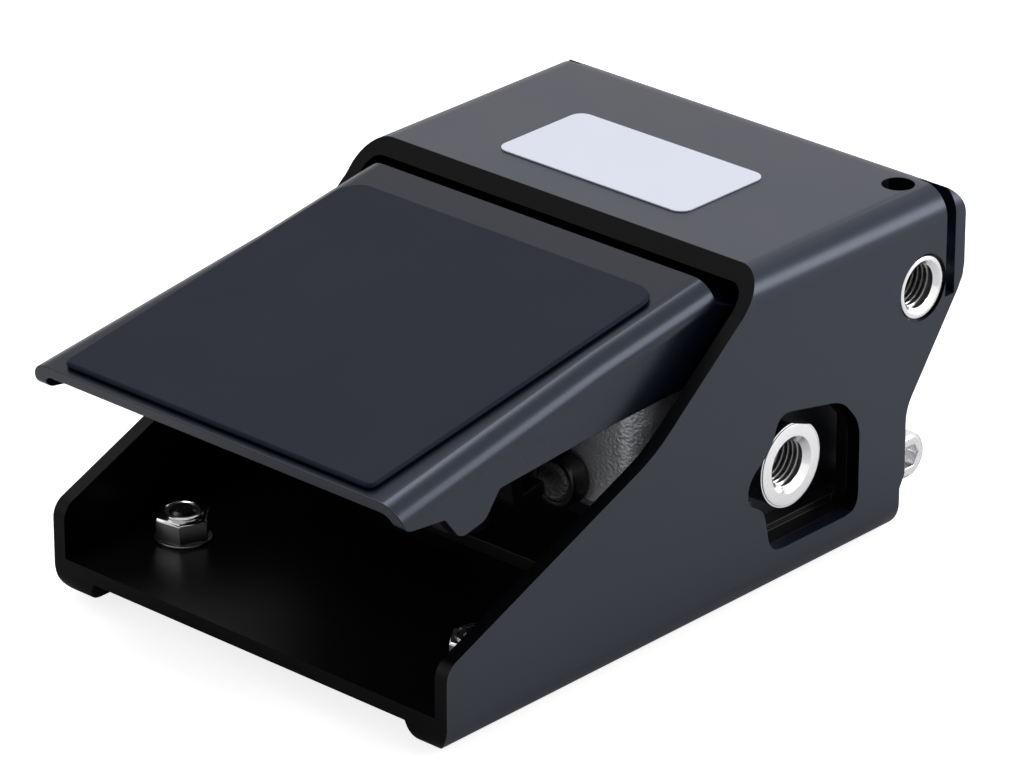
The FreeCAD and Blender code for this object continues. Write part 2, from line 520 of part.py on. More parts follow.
# valve body with its tower, bores and side ports
def make_valve_body():
    body = new_body("valve_body")
    side = [(VALVE_FRONT_Y, FRAME_TOP), (f"{VALVE_TOE_Y} - 1.5", FRAME_TOP),
            (VALVE_TOE_Y, "Dim.valve_toe_z"), (VALVE_REAR_Y, "Dim.valve_toe_z"),
            (VALVE_REAR_Y, "Dim.valve_top_z"), (VALVE_FRONT_Y, "Dim.valve_top_z")]
    sketch = outline(sketch_on(body, "YZ_Plane", "Dim.valve_left_x"), side)
    grow(body, sketch, f"{VALVE_RIGHT_X} - Dim.valve_left_x")
    tower = [(f"{TOWER_FRONT_Y} - 8", "Dim.valve_top_z - 4"),
             (VALVE_REAR_Y, "Dim.valve_top_z - 6"), (TOWER_REAR_Y, "Dim.valve_top_z + 4"),
             (TOWER_REAR_Y, TOWER_TOP_Z), (TOWER_FRONT_Y, TOWER_TOP_Z),
             (TOWER_FRONT_Y, "Dim.valve_top_z + 12"), (f"{TOWER_FRONT_Y} - 8", "Dim.valve_top_z")]
    sketch = outline(sketch_on(body, "YZ_Plane", "Dim.tower_left_x"), tower)
    grow(body, sketch, f"{VALVE_RIGHT_X} - Dim.tower_left_x")
    cheek = box_outline(sketch_on(body, "YZ_Plane", f"{VALVE_RIGHT_X} - 1"), f"{TOWER_FRONT_Y} + 1.5",
                        "Dim.valve_top_z + 6", TOWER_REAR_Y, TOWER_TOP_Z)
    grow(body, cheek, f"{TOWER_RIGHT_X} - {VALVE_RIGHT_X} + 1")
    lift = circle(sketch_on(body, "XY_Plane", "Dim.valve_top_z"), "Dim.spool_x", SPOOL_Y,
                  "Dim.spool_bore")
    cut(body, lift, "Dim.valve_top_z - Dim.bore_floor_z")
    low = circle(sketch_on(body, "YZ_Plane", VALVE_RIGHT_X), LOW_PORT_Y,
                 "Dim.low_port_z", "Dim.shank_radius")
    cut(body, low, "Dim.shank_length")
    high = circle(sketch_on(body, "YZ_Plane", TOWER_RIGHT_X), HIGH_PORT_Y,
                  HIGH_PORT_Z, "Dim.shank_radius")
    cut(body, high, "Dim.shank_length")
    plug = circle(sketch_on(body, "YZ_Plane", VALVE_RIGHT_X), PLUG_Y, "Dim.plug_z",
                  "Dim.plug_shank_radius")
    cut(body, plug, "Dim.plug_shank")
    silencer = circle(sketch_on(body, "XZ_Plane", f"-{VALVE_FRONT_Y}"), "Dim.silencer_x",
                      "Dim.silencer_z", "Dim.silencer_neck")
    cut(body, silencer, "Dim.silencer_shank")
    ties = sketch_on(body, "XY_Plane", FRAME_TOP)
    for x in ("Dim.tie_left_x", TIE_RIGHT_X):
        circle(ties, x, TIE_Y, "Dim.tie_screw")
    cut(body, ties, "Dim.tie_reach", back=True)
    foot = circle(sketch_on(body, "XY_Plane", FRAME_TOP), FOOT_REAR_X, FOOT_REAR_Y,
                  "Dim.foot_screw")
    cut(body, foot, SCREW_RISE + " + 0.5", back=True)
    vent = circle(sketch_on(body, "XY_Plane", TOWER_TOP_Z), VENT_X, ACCESS_Y,
                  "Dim.vent_radius")
    cut(body, vent, "Dim.vent_depth")
    place(body)


# raw cast front cover beside the silencer
def make_front_cover():
    body = new_body("front_cover")
    block = box_outline(sketch_on(body, "YZ_Plane", "Dim.cover_left_x"), COVER_FRONT_Y,
                        "Dim.cover_low_z", VALVE_FRONT_Y, COVER_TOP_Z)
    grow(body, block, f"{VALVE_RIGHT_X} - Dim.cover_left_x")
    front = value_of(COVER_FRONT_Y)
    low = value_of("Dim.cover_low_z")
    right = value_of(VALVE_RIGHT_X)

    def upright(edge):
        centre = middle(edge)
        return runs_along(edge, Z_AXIS) and near(centre.y, front) and near(centre.x, right)

    soften(body, "Dim.cover_round", upright)

    def bottom_front(edge):
        centre = middle(edge)
        return runs_along(edge, X_AXIS) and near(centre.y, front) and near(centre.z, low)

    soften(body, "Dim.cover_bevel", bottom_front, "Chamfer")
    clearance = circle(sketch_on(body, "XZ_Plane", f"-{COVER_FRONT_Y} + 1"), "Dim.silencer_x",
                       "Dim.silencer_z", "Dim.silencer_neck + 0.3")
    cut(body, clearance, f"{VALVE_FRONT_Y} - {COVER_FRONT_Y} + 2")
    place(body)


# port inserts, plug and silencer
def port_profile(face, mouth, neck_radius, neck):
    """Insert with a tapping-size bore; heights run out of the valve from the shoulder."""
    bore = "Dim.thread_radius"
    bottom = "(%s) - Dim.port_depth" % face
    return [(bore, bottom), (bore, "%s - Dim.port_mouth_depth" % face),
            (mouth, face), (neck_radius, face), (neck_radius, neck),
            ("Dim.boss_radius", neck), ("Dim.boss_radius", "0"), ("Dim.shank_radius", "0"),
            ("Dim.shank_radius", "-Dim.shank_length"), ("0", "-Dim.shank_length"),
            ("0", bottom)]


def make_port_insert_low():
    body = new_body("port_insert_low")
    face = f"(%s - Dim.port_wall_gap - {VALVE_RIGHT_X})" % INNER
    turn(body, port_profile(face, "Dim.low_mouth_radius", "Dim.boss_radius - Dim.boss_bevel",
                            face + " - Dim.boss_bevel"))
    # flat on the boss; the body's local -X becomes up once the piece lies along X
    sketch = box_outline(sketch_on(body, "XY_Plane", face + " + 1"), "-Dim.boss_radius - 2",
                         "-Dim.boss_radius - 2", "-Dim.boss_flat", "Dim.boss_radius + 2")
    cut(body, sketch, face + " + 1")
    body.Placement = FreeCAD.Placement()
    lay_along_x(body, VALVE_RIGHT_X, LOW_PORT_Y, "Dim.low_port_z", "Dim.boss_flat_turn")


def lay_along_x(item, x, y, z, roll="0"):
    """Turns a piece so that its own Z axis runs along +X, after a roll about its axis."""
    place(item, x, y, z)
    level = FreeCAD.Rotation(Y_AXIS, 90)
    rolled = FreeCAD.Rotation(X_AXIS, -value_of(roll)) * level
    item.Placement = FreeCAD.Placement(item.Placement.Base, rolled)


def lay_along_y(item, x, y, z):
    """Turns a piece so that its own Z axis runs along -Y."""
    place(item, x, y, z)
    item.Placement = FreeCAD.Placement(item.Placement.Base, FreeCAD.Rotation(X_AXIS, 90))


def make_port_insert_high():
    body = new_body("port_insert_high")
    face = f"(%s - Dim.port_wall_gap - {TOWER_RIGHT_X})" % HALF
    turn(body, port_profile(face, "Dim.high_mouth_radius", "Dim.high_ring_radius", "0.6"))
    lay_along_x(body, TOWER_RIGHT_X, HIGH_PORT_Y, HIGH_PORT_Z)


def make_channel_plug():
    body = new_body("channel_plug")
    out = f"({PLUG_OUT} - {VALVE_RIGHT_X})"
    turn(body, [("0", "-Dim.plug_shank"), ("Dim.plug_shank_radius", "-Dim.plug_shank"),
                ("Dim.plug_shank_radius", "0"), ("Dim.plug_radius", "0"),
                ("Dim.plug_radius", out + " - Dim.plug_chamfer"),
                ("Dim.plug_radius - Dim.plug_chamfer", out), ("0", out)])
    socket = hexagon(sketch_on(body, "XY_Plane", out), "0", "0", "2 * Dim.plug_socket")
    cut(body, socket, "Dim.plug_socket_depth")
    lay_along_x(body, VALVE_RIGHT_X, PLUG_Y, "Dim.plug_z")


def make_silencer():
    holder = new_body("silencer_holder")
    length = f"({VALVE_FRONT_Y} - {SILENCER_FACE_Y})"
    head = "(%s - Dim.silencer_head)" % length
    turn(holder, [("0", "-Dim.silencer_shank"), ("Dim.silencer_neck", "-Dim.silencer_shank"),
                  ("Dim.silencer_neck", head), ("Dim.silencer_radius", head),
                  ("Dim.silencer_radius", length + " - 0.5"),
                  ("Dim.silencer_radius - 0.5", length), ("Dim.silencer_core", length),
                  ("Dim.silencer_core", length + " - Dim.core_depth"),
                  ("0", length + " - Dim.core_depth")])
    lay_along_y(holder, "Dim.silencer_x", VALVE_FRONT_Y, "Dim.silencer_z")
    core = new_body("silencer_core")
    turn(core, [("0", "0"), ("Dim.silencer_core", "0"), ("Dim.silencer_core", "Dim.core_depth - 0.3"),
                ("Dim.silencer_core - 0.7", "Dim.core_depth + 0.5"), ("0", "Dim.core_depth + 0.5")])
    lay_along_y(core, "Dim.silencer_x", f"{SILENCER_FACE_Y} + Dim.core_depth", "Dim.silencer_z")


# spool, its seals, the plunger and both springs
def make_spool_parts():
    spool = new_body("spool")
    land = "(Dim.spool_bore - Dim.spool_clearance)"
    length = "Dim.spool_length"
    step = "Dim.land_length"
    turn(spool, [("0", "0"), (land, "0"), (land, step), ("Dim.spool_waist", step),
                 ("Dim.spool_waist", length + " - " + step), (land, length + " - " + step),
                 (land, length), ("0", length)])
    place(spool, "Dim.spool_x", SPOOL_Y, "Dim.spool_low_z")
    seals = new_body("spool_seals")
    wire = "Dim.seal_wire"
    inner = "Dim.spool_waist"
    for low in ("Dim.land_length", "Dim.spool_length - Dim.land_length - 2 * Dim.seal_wire"):
        turn(seals, [(inner, low), ("%s + 2 * %s - 0.3" % (inner, wire), low),
                     ("%s + 2 * %s" % (inner, wire), low + " + 0.3"),
                     ("%s + 2 * %s" % (inner, wire), low + " + 2 * %s - 0.3" % wire),
                     ("%s + 2 * %s - 0.3" % (inner, wire), low + " + 2 * %s" % wire),
                     (inner, low + " + 2 * %s" % wire)])
    place(seals, "Dim.spool_x", SPOOL_Y, "Dim.spool_low_z")

    cap = new_body("gland_cap")
    hole = "(Dim.stem_radius + Dim.stem_clearance)"
    turn(cap, [(hole, "-Dim.cap_spigot"), ("Dim.spool_bore", "-Dim.cap_spigot"),
               ("Dim.spool_bore", "0"), ("Dim.cap_radius - 0.1", "0"), ("Dim.cap_radius - 0.1", "Dim.cap_thickness - 0.6"),
               ("Dim.cap_radius - 0.7", "Dim.cap_thickness"), (hole, "Dim.cap_thickness")])
    place(cap, "Dim.spool_x", SPOOL_Y, "Dim.valve_top_z")

    plunger = new_body("plunger")
    low_z = "Dim.spool_low_z + Dim.spool_length"
    reach = f"({HEAD_TOP_Z} - Dim.spool_low_z - Dim.spool_length)"
    turn(plunger, [("0", "0"), ("Dim.stem_radius", "0"), ("Dim.stem_radius", reach + " - Dim.head_thickness"),
                   ("Dim.head_radius", reach + " - Dim.head_thickness"),
                   ("Dim.head_radius", reach + " - 0.8"), ("Dim.head_radius - 0.8", reach), ("0", reach)])
    place(plunger, "Dim.spool_x", SPOOL_Y, low_z)


def ring_of_points(centre, outward, radius, sides):
    """Corners of a small polygon round a point, in the upright plane that holds outward."""
    corners = []
    for step in range(sides):
        angle = 2 * math.pi * step / sides
        corners.append(centre + outward * (radius * math.cos(angle))
                       + Z_AXIS * (radius * math.sin(angle)))
    return corners


def skin(rings, closed):
    """Solid skin of triangles over a row of point rings."""
    faces = []
    sides = len(rings[0])
    spans = len(rings) if closed else len(rings) - 1
    for index in range(spans):
        here = rings[index]
        there = rings[(index + 1) % len(rings)]
        for step in range(sides):
            after = (step + 1) % sides
            faces.append([here[step], here[after], there[after]])
            faces.append([here[step], there[after], there[step]])
    if not closed:
        faces += [list(rings[0]), list(rings[-1])]
    flat = [Part.Face(Part.makePolygon(points + [points[0]])) for points in faces]
    solid = Part.Solid(Part.Shell(flat))
    if solid.Volume < 0:
        solid.reverse()
    return solid


def coil_rings(wire, mean, turns, height, per_turn):
    """Sections of a coil that climbs from the wire's radius to height minus it."""
    rings = []
    count = round(turns * per_turn)
    for step in range(count + 1):
        angle = 2 * math.pi * step / per_turn
        outward = FreeCAD.Vector(math.cos(angle), math.sin(angle), 0)
        level = wire + (height - 2 * wire) * step / count
        rings.append(ring_of_points(outward * mean + Z_AXIS * level, outward, wire, 6))
    return rings


def make_spring(name, wire, mean, turns, length, z):
    """Coil of wire that stands between two faces."""
    body = doc.addObject("Part::Feature", name)
    body.Label = name
    nodes[name] = body
    height = value_of(length) - 2 * value_of("Dim.spring_gap")
    rings = coil_rings(value_of(wire), value_of(mean), value_of(turns), height, 14)
    body.Shape = skin(rings, False)
    place(body, "Dim.spool_x", SPOOL_Y, z + " + Dim.spring_gap")


# pedal, pad, brackets, screw and pivot
def pedal_profile():
    """Side outline of the pedal from its pivot: plate, flange, ear and arm."""
    front = pedal_front()
    return [
        ("-" + front, "Dim.pedal_top"),
        ("-%s + Dim.toe_lean" % front, "Dim.pedal_top - Dim.toe_drop"),
        ("-Dim.ear_blend_front", "Dim.edge_front"),
        ("-Dim.ear_front", "Dim.ear_low"), ("-Dim.ear_rear", "Dim.ear_low"),
        ("-Dim.ear_blend_rear", "Dim.edge_behind"), ("-Dim.waist_at", "Dim.waist_low"),
        ("-Dim.arm_at", "-Dim.arm_radius"), ("Dim.arm_radius", "-Dim.arm_radius"),
        ("Dim.arm_radius", "Dim.arm_radius"), ("-Dim.arm_shelf", "Dim.arm_radius"),
        ("-Dim.pedal_rear", "Dim.pedal_top - Dim.arm_step"), ("-Dim.pedal_rear", "Dim.pedal_top"),
    ]


def pedal_front():
    """Reach of the plate from the pivot, so that its tip overhangs the base as stated."""
    tilt = "Dim.pedal_tilt * 1 deg"
    return f"(({PIVOT_Y} + Dim.pedal_overhang - Dim.pedal_top * sin(%s)) / cos(%s))" % (tilt, tilt)


def splay_at(along):
    """How far a flange stands out from its rear run, at a reach from the pivot."""
    return "Dim.splay * (%s - Dim.splay_at) / (%s - Dim.splay_at)" % (along, pedal_front())


def side_waste(side):
    """Plan outline beyond one flange: straight along the arm, then splayed to the toe."""
    front = "(%s + 5)" % pedal_front()
    beyond = f"%s({PEDAL_HALF} + 20)" % side
    rear = f"%s{PEDAL_HALF}" % side
    return [(rear, "50"), (rear, "-Dim.splay_at"),
            (f"%s({PEDAL_HALF} + %s)" % (side, splay_at(front)), "-" + front),
            (beyond, "-" + front), (beyond, "50")]


def make_pedal():
    body = new_body("pedal")
    sketch = outline(sketch_on(body, "YZ_Plane"), pedal_profile())
    grow(body, sketch, f"2 * ({PEDAL_HALF} + Dim.splay)", both=True)
    for side in ("", "-"):
        plan = outline(sketch_on(body, "XY_Plane", "Dim.pedal_top + 1"), side_waste(side))
        cut(body, plan, "100")
    top = value_of("Dim.pedal_top")
    low = value_of("Dim.ear_low")
    round_arm = value_of("Dim.arm_radius")
    wide = value_of(PEDAL_HALF)

    def long_top(edge):
        centre = middle(edge)
        flat = edge.BoundBox.ZLength < 0.01
        return (flat and near(centre.z, top) and abs(centre.x) > wide - 1
                and edge.BoundBox.YLength > 20)

    soften(body, "Dim.pedal_bend", long_top)
    toe_y = value_of("-%s + Dim.toe_lean" % pedal_front())

    def toe(edge):
        return runs_along(edge, X_AXIS) and near(middle(edge).y, toe_y)

    soften(body, "Dim.toe_round", toe)

    def ear(edge):
        centre = middle(edge)
        return runs_along(edge, X_AXIS) and near(centre.z, low)

    soften(body, "Dim.ear_round", ear)

    def arm_end(edge):
        centre = middle(edge)
        return runs_along(edge, X_AXIS) and near(centre.y, round_arm)

    soften(body, "Dim.arm_radius - 0.1", arm_end)
    inner = f"({PEDAL_HALF} - Dim.sheet)"
    ceiling = "Dim.pedal_top - Dim.sheet"
    front = "(%s + 5)" % pedal_front()
    spread = "(%s + %s)" % (inner, splay_at(front))
    plan = [(inner, "50"), ("-" + inner, "50"), ("-" + inner, "-Dim.splay_at"),
            ("-" + spread, "-" + front), (spread, "-" + front), (inner, "-Dim.splay_at")]
    cut(body, outline(sketch_on(body, "XY_Plane", ceiling), plan), "60")
    roof = value_of(ceiling)

    def inner_bend(edge):
        centre = middle(edge)
        flat = edge.BoundBox.ZLength < 0.01
        return (flat and near(centre.z, roof) and abs(centre.x) > wide - 5
                and edge.BoundBox.YLength > 20)

    soften(body, "Dim.pedal_bend - Dim.sheet", inner_bend)
    bore = circle(sketch_on(body, "YZ_Plane"), "0", "0", "Dim.pin_radius + Dim.pin_clearance")
    cut(body, bore, f"4 * {PEDAL_HALF}", both=True)
    place_on_pedal(body)


def make_pedal_pad():
    body = new_body("pedal_pad")
    sketch = box_outline(sketch_on(body, "XY_Plane"), f"-{PAD_HALF}", "-Dim.pad_front",
                         PAD_HALF, "-Dim.pad_rear")
    grow(body, sketch, "Dim.pad_thickness")
    rear = value_of("-Dim.pad_rear")

    def rear_corner(edge):
        return runs_along(edge, Z_AXIS) and near(middle(edge).y, rear)

    def front_corner(edge):
        return runs_along(edge, Z_AXIS) and not near(middle(edge).y, rear)

    soften(body, "Dim.pad_corner", rear_corner)
    soften(body, "Dim.pad_corner / 3", front_corner)
    place_on_pedal(body, up="Dim.pedal_top")


def make_lever_bracket():
    body = new_body("lever_bracket")
    inner = f"({PEDAL_HALF} - Dim.sheet)"
    plate = box_outline(sketch_on(body, "XY_Plane", "Dim.web_low"), "-" + inner, "-Dim.web_front",
                        inner, "-Dim.web_rear")
    grow(body, plate, "Dim.sheet")
    rear = value_of("-Dim.web_rear")
    outer = value_of(inner)

    def rear_corner(edge):
        centre = middle(edge)
        return runs_along(edge, Z_AXIS) and near(centre.y, rear) and near(abs(centre.x), outer)

    soften(body, "4", rear_corner)
    hole = circle(sketch_on(body, "XY_Plane", "Dim.web_low + Dim.sheet + 1"), "Dim.spool_x",
                  "-Dim.web_at", "Dim.screw_radius")
    cut(body, hole, "Dim.sheet + 2")
    place_on_pedal(body)


def make_adjuster():
    screw = new_body("adjust_screw")
    turn(screw, [("0", "Dim.screw_tip"), ("Dim.screw_radius - 1.4", "Dim.screw_tip"),
                 ("Dim.screw_radius", "Dim.screw_tip + 1"), ("Dim.screw_radius", "Dim.screw_top - 0.6"),
                 ("Dim.screw_radius - 0.6", "Dim.screw_top"), ("0", "Dim.screw_top")])
    slot = box_outline(sketch_on(screw, "XY_Plane", "Dim.screw_top"), "-5", "-Dim.slot_cut / 2", "5",
                       "Dim.slot_cut / 2")
    cut(screw, slot, "1.5")
    place_on_pedal(screw, along="-Dim.web_at")
    screw.setExpression("Placement.Base.x", "Dim.spool_x")
    jam = new_body("adjust_nut")
    sketch = hexagon(sketch_on(jam, "XY_Plane"), "0", "0", "Dim.jam_flats")
    circle(sketch, "0", "0", "Dim.screw_radius")
    grow(jam, sketch, "Dim.jam_height")
    place_on_pedal(jam, along="-Dim.web_at", up="Dim.web_low - Dim.jam_height")
    jam.setExpression("Placement.Base.x", "Dim.spool_x")


def make_stop_bracket():
    body = new_body("stop_bracket")
    ceiling = "(Dim.pedal_top - Dim.sheet)"
    front = "-Dim.stop_at"
    back = "-Dim.stop_at + Dim.sheet"
    side = [(front, "-Dim.stop_low"), (back + " + Dim.stop_foot", "-Dim.stop_low"),
            (back + " + Dim.stop_foot", "-Dim.stop_low + Dim.sheet"),
            (back, "-Dim.stop_low + Dim.sheet"), (back, ceiling + " - Dim.sheet"),
            (back + " + Dim.stop_shelf", ceiling + " - Dim.sheet"),
            (back + " + Dim.stop_shelf", ceiling), (front, ceiling)]
    grow(body, outline(sketch_on(body, "YZ_Plane"), side), "2 * Dim.stop_half_width", both=True)
    low = value_of("-Dim.stop_low")

    def outer_bend(edge):
        centre = middle(edge)
        return (runs_along(edge, X_AXIS) and near(centre.z, low)
                and near(centre.y, value_of(front)))

    soften(body, "Dim.sheet - 0.4", outer_bend)
    place_on_pedal(body)


def make_pivot():
    pin = new_body("pivot_pin")
    reach = PIN_REACH
    turn(pin, [("0", "-" + reach), ("Dim.pin_radius - 0.5", "-" + reach),
               ("Dim.pin_radius", "-%s + 0.5" % reach), ("Dim.pin_radius", reach + " - 0.5"),
               ("Dim.pin_radius - 0.5", reach), ("0", reach)])
    lay_along_x(pin, "0", PIVOT_Y, PIVOT_Z)
    sleeve = new_body("pivot_sleeve")
    half = f"({PEDAL_HALF} - Dim.sheet - Dim.sleeve_gap)"
    bore = "(Dim.pin_radius + Dim.pin_clearance)"
    outer = bore + " + Dim.sleeve_wall"
    turn(sleeve, [(bore, "-" + half), (outer, "-" + half), (outer, half), (bore, half)])
    lay_along_x(sleeve, "0", PIVOT_Y, PIVOT_Z)


def make_bumper():
    body = new_body("floor_bumper")
    turn(body, [("0", "-Dim.frame_sheet"), ("2.4", "-Dim.frame_sheet"), ("2.4", "0"),
                ("Dim.bumper_radius", "0"), ("Dim.bumper_radius", "Dim.bumper_height - 0.6"),
                ("Dim.bumper_radius - 0.6", "Dim.bumper_height"), ("0", "Dim.bumper_height")])
    place(body, "0", BUMPER_Y, FRAME_TOP)


def make_label():
    body = new_body("label_plate")
    sketch = box_outline(sketch_on(body, "XY_Plane"), "-Dim.label_wide / 2", "-Dim.label_deep / 2",
                         "Dim.label_wide / 2", "Dim.label_deep / 2")
    grow(body, sketch, "Dim.label_thick")
    soften(body, "Dim.label_corner", lambda edge: runs_along(edge, Z_AXIS))
    place(body, "Dim.label_x", LABEL_Y, "Dim.hood_height")


# sets of identical pieces, each set one node
def make_group(name, member, places):
    """Repeats a finished body at several places as one set of separate solids."""
    doc.recompute()
    group = doc.addObject("Part::Feature", name)
    group.Label = name
    nodes[name] = group
    copies = []
    for x, y, z in places:
        copy = member.Shape.copy()
        copy.translate(FreeCAD.Vector(value_of(x), value_of(y), value_of(z)))
        copies.append(copy)
    group.Shape = Part.makeCompound(copies)
    place(group)


def make_member(name):
    """Body that is drawn once and repeated; it isn't a piece by itself."""
    body = new_body(name)
    del nodes[name]
    return body


def make_feet():
    # the rear right screw ends in the valve body, so it has no nut
    front_right, front_left, _, rear_left = foot_places()
    seats = [front_right + ("0",), front_left + ("0",), rear_left + ("Dim.frame_sheet",)]
    pad = make_member("one_foot")
    top = FLOOR_LOW
    head_z = "Dim.foot_head_height + 0.4"
    turn(pad, [("Dim.foot_screw", top), ("Dim.foot_radius", top),
               ("Dim.foot_radius - 0.8", "-Dim.foot_proud"), ("Dim.foot_screw_head + 0.3", "-Dim.foot_proud"),
               ("Dim.foot_screw_head + 0.3", head_z), ("Dim.foot_screw", head_z)])
    make_group("foot_pads", pad, [(x, y, "0") for x, y in foot_places()])
    screw = make_member("one_foot_screw")
    tip = "Dim.floor_top + " + SCREW_RISE
    turn(screw, [("0", "0.4"), ("Dim.foot_screw_head", "0.4"), ("Dim.foot_screw_head", head_z),
                 ("Dim.foot_screw", head_z), ("Dim.foot_screw", tip + " - 0.6"),
                 ("Dim.foot_screw - 0.6", tip), ("0", tip)])
    longer = make_member("one_rear_foot_screw")
    turn(longer, [("0", "0.4"), ("Dim.foot_screw_head", "0.4"), ("Dim.foot_screw_head", head_z),
                  ("Dim.foot_screw", head_z), ("Dim.foot_screw", tip + " - 0.6 + Dim.frame_sheet"),
                  ("Dim.foot_screw - 0.6", tip + " + Dim.frame_sheet"),
                  ("0", tip + " + Dim.frame_sheet")])
    make_group("foot_screws", screw, [(x, y, "0") for x, y in foot_places()[:2]])
    make_group("rear_foot_screws", longer, [(x, y, "0") for x, y in foot_places()[2:]])
    washer = make_member("one_washer")
    turn(washer, [("Dim.foot_screw", "Dim.floor_top"), ("Dim.washer_radius", "Dim.floor_top"),
                  ("Dim.washer_radius", "Dim.floor_top + Dim.washer_height"),
                  ("Dim.foot_screw", "Dim.floor_top + Dim.washer_height")])
    make_group("foot_washers", washer, seats)
    nut = make_member("one_nut")
    seat = "(Dim.floor_top + Dim.washer_height)"
    blank = hexagon(sketch_on(nut, "XY_Plane", seat), "0", "0", "Dim.nut_flats")
    grow(nut, blank, "Dim.nut_height")
    collar = circle(sketch_on(nut, "XY_Plane", seat), "0", "0", "Dim.nut_collar")
    grow(nut, collar, "Dim.nut_height + Dim.nut_collar_height")
    bore = circle(sketch_on(nut, "XY_Plane", seat), "0", "0", "Dim.foot_screw")
    cut(nut, bore, "Dim.nut_height + Dim.nut_collar_height + 1", back=True)
    # the flats of the nuts face the open corner of the base
    nut.Placement = FreeCAD.Placement(FreeCAD.Vector(),
                                      FreeCAD.Rotation(Z_AXIS, value_of("Dim.nut_turn - 90")))
    make_group("foot_nuts", nut, seats)


def make_tie_screws():
    screw = make_member("one_tie_screw")
    head = "(%s - Dim.tie_head_height)" % FLOOR_LOW
    tip = "(%s + Dim.tie_reach - 0.5)" % FRAME_TOP
    turn(screw, [("0", head), ("Dim.tie_head", head), ("Dim.tie_head", FLOOR_LOW),
                 ("Dim.tie_screw", FLOOR_LOW), ("Dim.tie_screw", tip + " - 0.5"),
                 ("Dim.tie_screw - 0.5", tip), ("0", tip)])
    socket = hexagon(sketch_on(screw, "XY_Plane", head), "0", "0", "4")
    cut(screw, socket, "1.5", back=True)
    places = [(x, TIE_Y, "0") for x in ("Dim.tie_left_x", TIE_RIGHT_X)]
    make_group("tie_screws", screw, places)


def make_vent_screw():
    body = new_body("vent_screw")
    turn(body, [("0", "-Dim.vent_depth + 0.3"), ("Dim.vent_radius", "-Dim.vent_depth + 0.3"),
                ("Dim.vent_radius", "0"), ("Dim.vent_head", "0"),
                ("Dim.vent_head", "Dim.vent_head_height - 0.4"),
                ("Dim.vent_head - 0.4", "Dim.vent_head_height"), ("0", "Dim.vent_head_height")])
    socket = hexagon(sketch_on(body, "XY_Plane", "Dim.vent_head_height"), "0", "0",
                     "2 * Dim.vent_socket")
    cut(body, socket, "1.2")
    place(body, VENT_X, ACCESS_Y, TOWER_TOP_Z)


make_housing()
make_inner_frame()
make_valve_body()
make_front_cover()
make_port_insert_low()
make_port_insert_high()
make_channel_plug()
make_silencer()
make_spool_parts()
make_spring("return_spring", "Dim.return_wire", "Dim.return_mean", "Dim.return_turns",
            f"{HEAD_TOP_Z} - Dim.head_thickness - Dim.valve_top_z - Dim.cap_thickness",
            "Dim.valve_top_z + Dim.cap_thickness")
make_spring("spool_spring", "Dim.spool_wire", "Dim.spool_spring_mean", "Dim.spool_spring_turns",
            "Dim.spool_low_z - Dim.bore_floor_z", "Dim.bore_floor_z")
make_pedal()
make_pedal_pad()
make_lever_bracket()
make_adjuster()
make_stop_bracket()
make_pivot()
make_bumper()
make_label()
make_feet()
make_tie_screws()
make_vent_screw()

doc.recompute()
for item in doc.Objects:
    if "Invalid" in item.State or "Error" in item.State:
        raise ValueError("%s did not build: %s" % (item.Name, item.State))
os.makedirs("parts", exist_ok=True)
for name, item in nodes.items():
    if item.Shape.isNull() or not item.Shape.isValid():
        raise ValueError("%s has no sound shape" % name)
    item.Shape.exportStep("parts/%s.step" % name)
box = FreeCAD.BoundBox()
for item in nodes.values():
    box.add(item.Shape.BoundBox)
print("pieces", len(nodes), "box", [round(v, 2) for v in
                                    (box.XMin, box.YMin, box.ZMin, box.XMax, box.YMax, box.ZMax)])
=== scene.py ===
"""Looks of a pneumatic foot valve: finishes, threads, fasteners and soft edges."""

import json
import logging
import math
from dataclasses import dataclass, field
from enum import Enum
from typing import Callable, Iterable, Sequence

import bmesh
import bpy
from mathutils import Matrix, Vector

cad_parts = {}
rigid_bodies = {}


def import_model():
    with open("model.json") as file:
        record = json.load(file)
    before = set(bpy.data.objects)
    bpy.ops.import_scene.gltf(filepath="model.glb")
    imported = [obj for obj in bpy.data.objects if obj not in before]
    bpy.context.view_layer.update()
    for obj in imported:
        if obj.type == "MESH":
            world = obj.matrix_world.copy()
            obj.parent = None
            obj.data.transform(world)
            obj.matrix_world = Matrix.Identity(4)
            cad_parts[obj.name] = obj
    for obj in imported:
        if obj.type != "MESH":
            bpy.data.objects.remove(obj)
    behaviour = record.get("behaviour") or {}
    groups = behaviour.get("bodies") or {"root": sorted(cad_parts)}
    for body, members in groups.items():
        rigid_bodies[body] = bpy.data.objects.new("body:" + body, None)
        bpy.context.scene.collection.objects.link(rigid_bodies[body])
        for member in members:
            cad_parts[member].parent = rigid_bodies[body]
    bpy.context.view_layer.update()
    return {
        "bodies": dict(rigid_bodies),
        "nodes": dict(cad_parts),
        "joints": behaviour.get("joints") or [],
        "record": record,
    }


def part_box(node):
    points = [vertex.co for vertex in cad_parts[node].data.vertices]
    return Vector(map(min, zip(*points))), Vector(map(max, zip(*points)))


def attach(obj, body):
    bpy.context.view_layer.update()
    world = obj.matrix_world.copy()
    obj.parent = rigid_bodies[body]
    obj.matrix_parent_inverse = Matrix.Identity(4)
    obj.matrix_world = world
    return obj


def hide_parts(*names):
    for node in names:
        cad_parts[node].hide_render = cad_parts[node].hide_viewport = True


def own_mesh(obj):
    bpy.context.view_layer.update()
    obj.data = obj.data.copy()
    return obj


MM = 0.001
# below these, in metres and square metres, points are one, lie on the axis, or a face is empty
WELD = 1e-7
ON_AXIS = 1e-9
NO_AREA = 1e-14
# how near a CAD node's corners count as one, and which of its edges are flat or sharp
MERGE_MM = 0.002
FLAT_DEG = 0.6
SHARP_DEG = 28.0
SMOOTH_DEG = 40.0
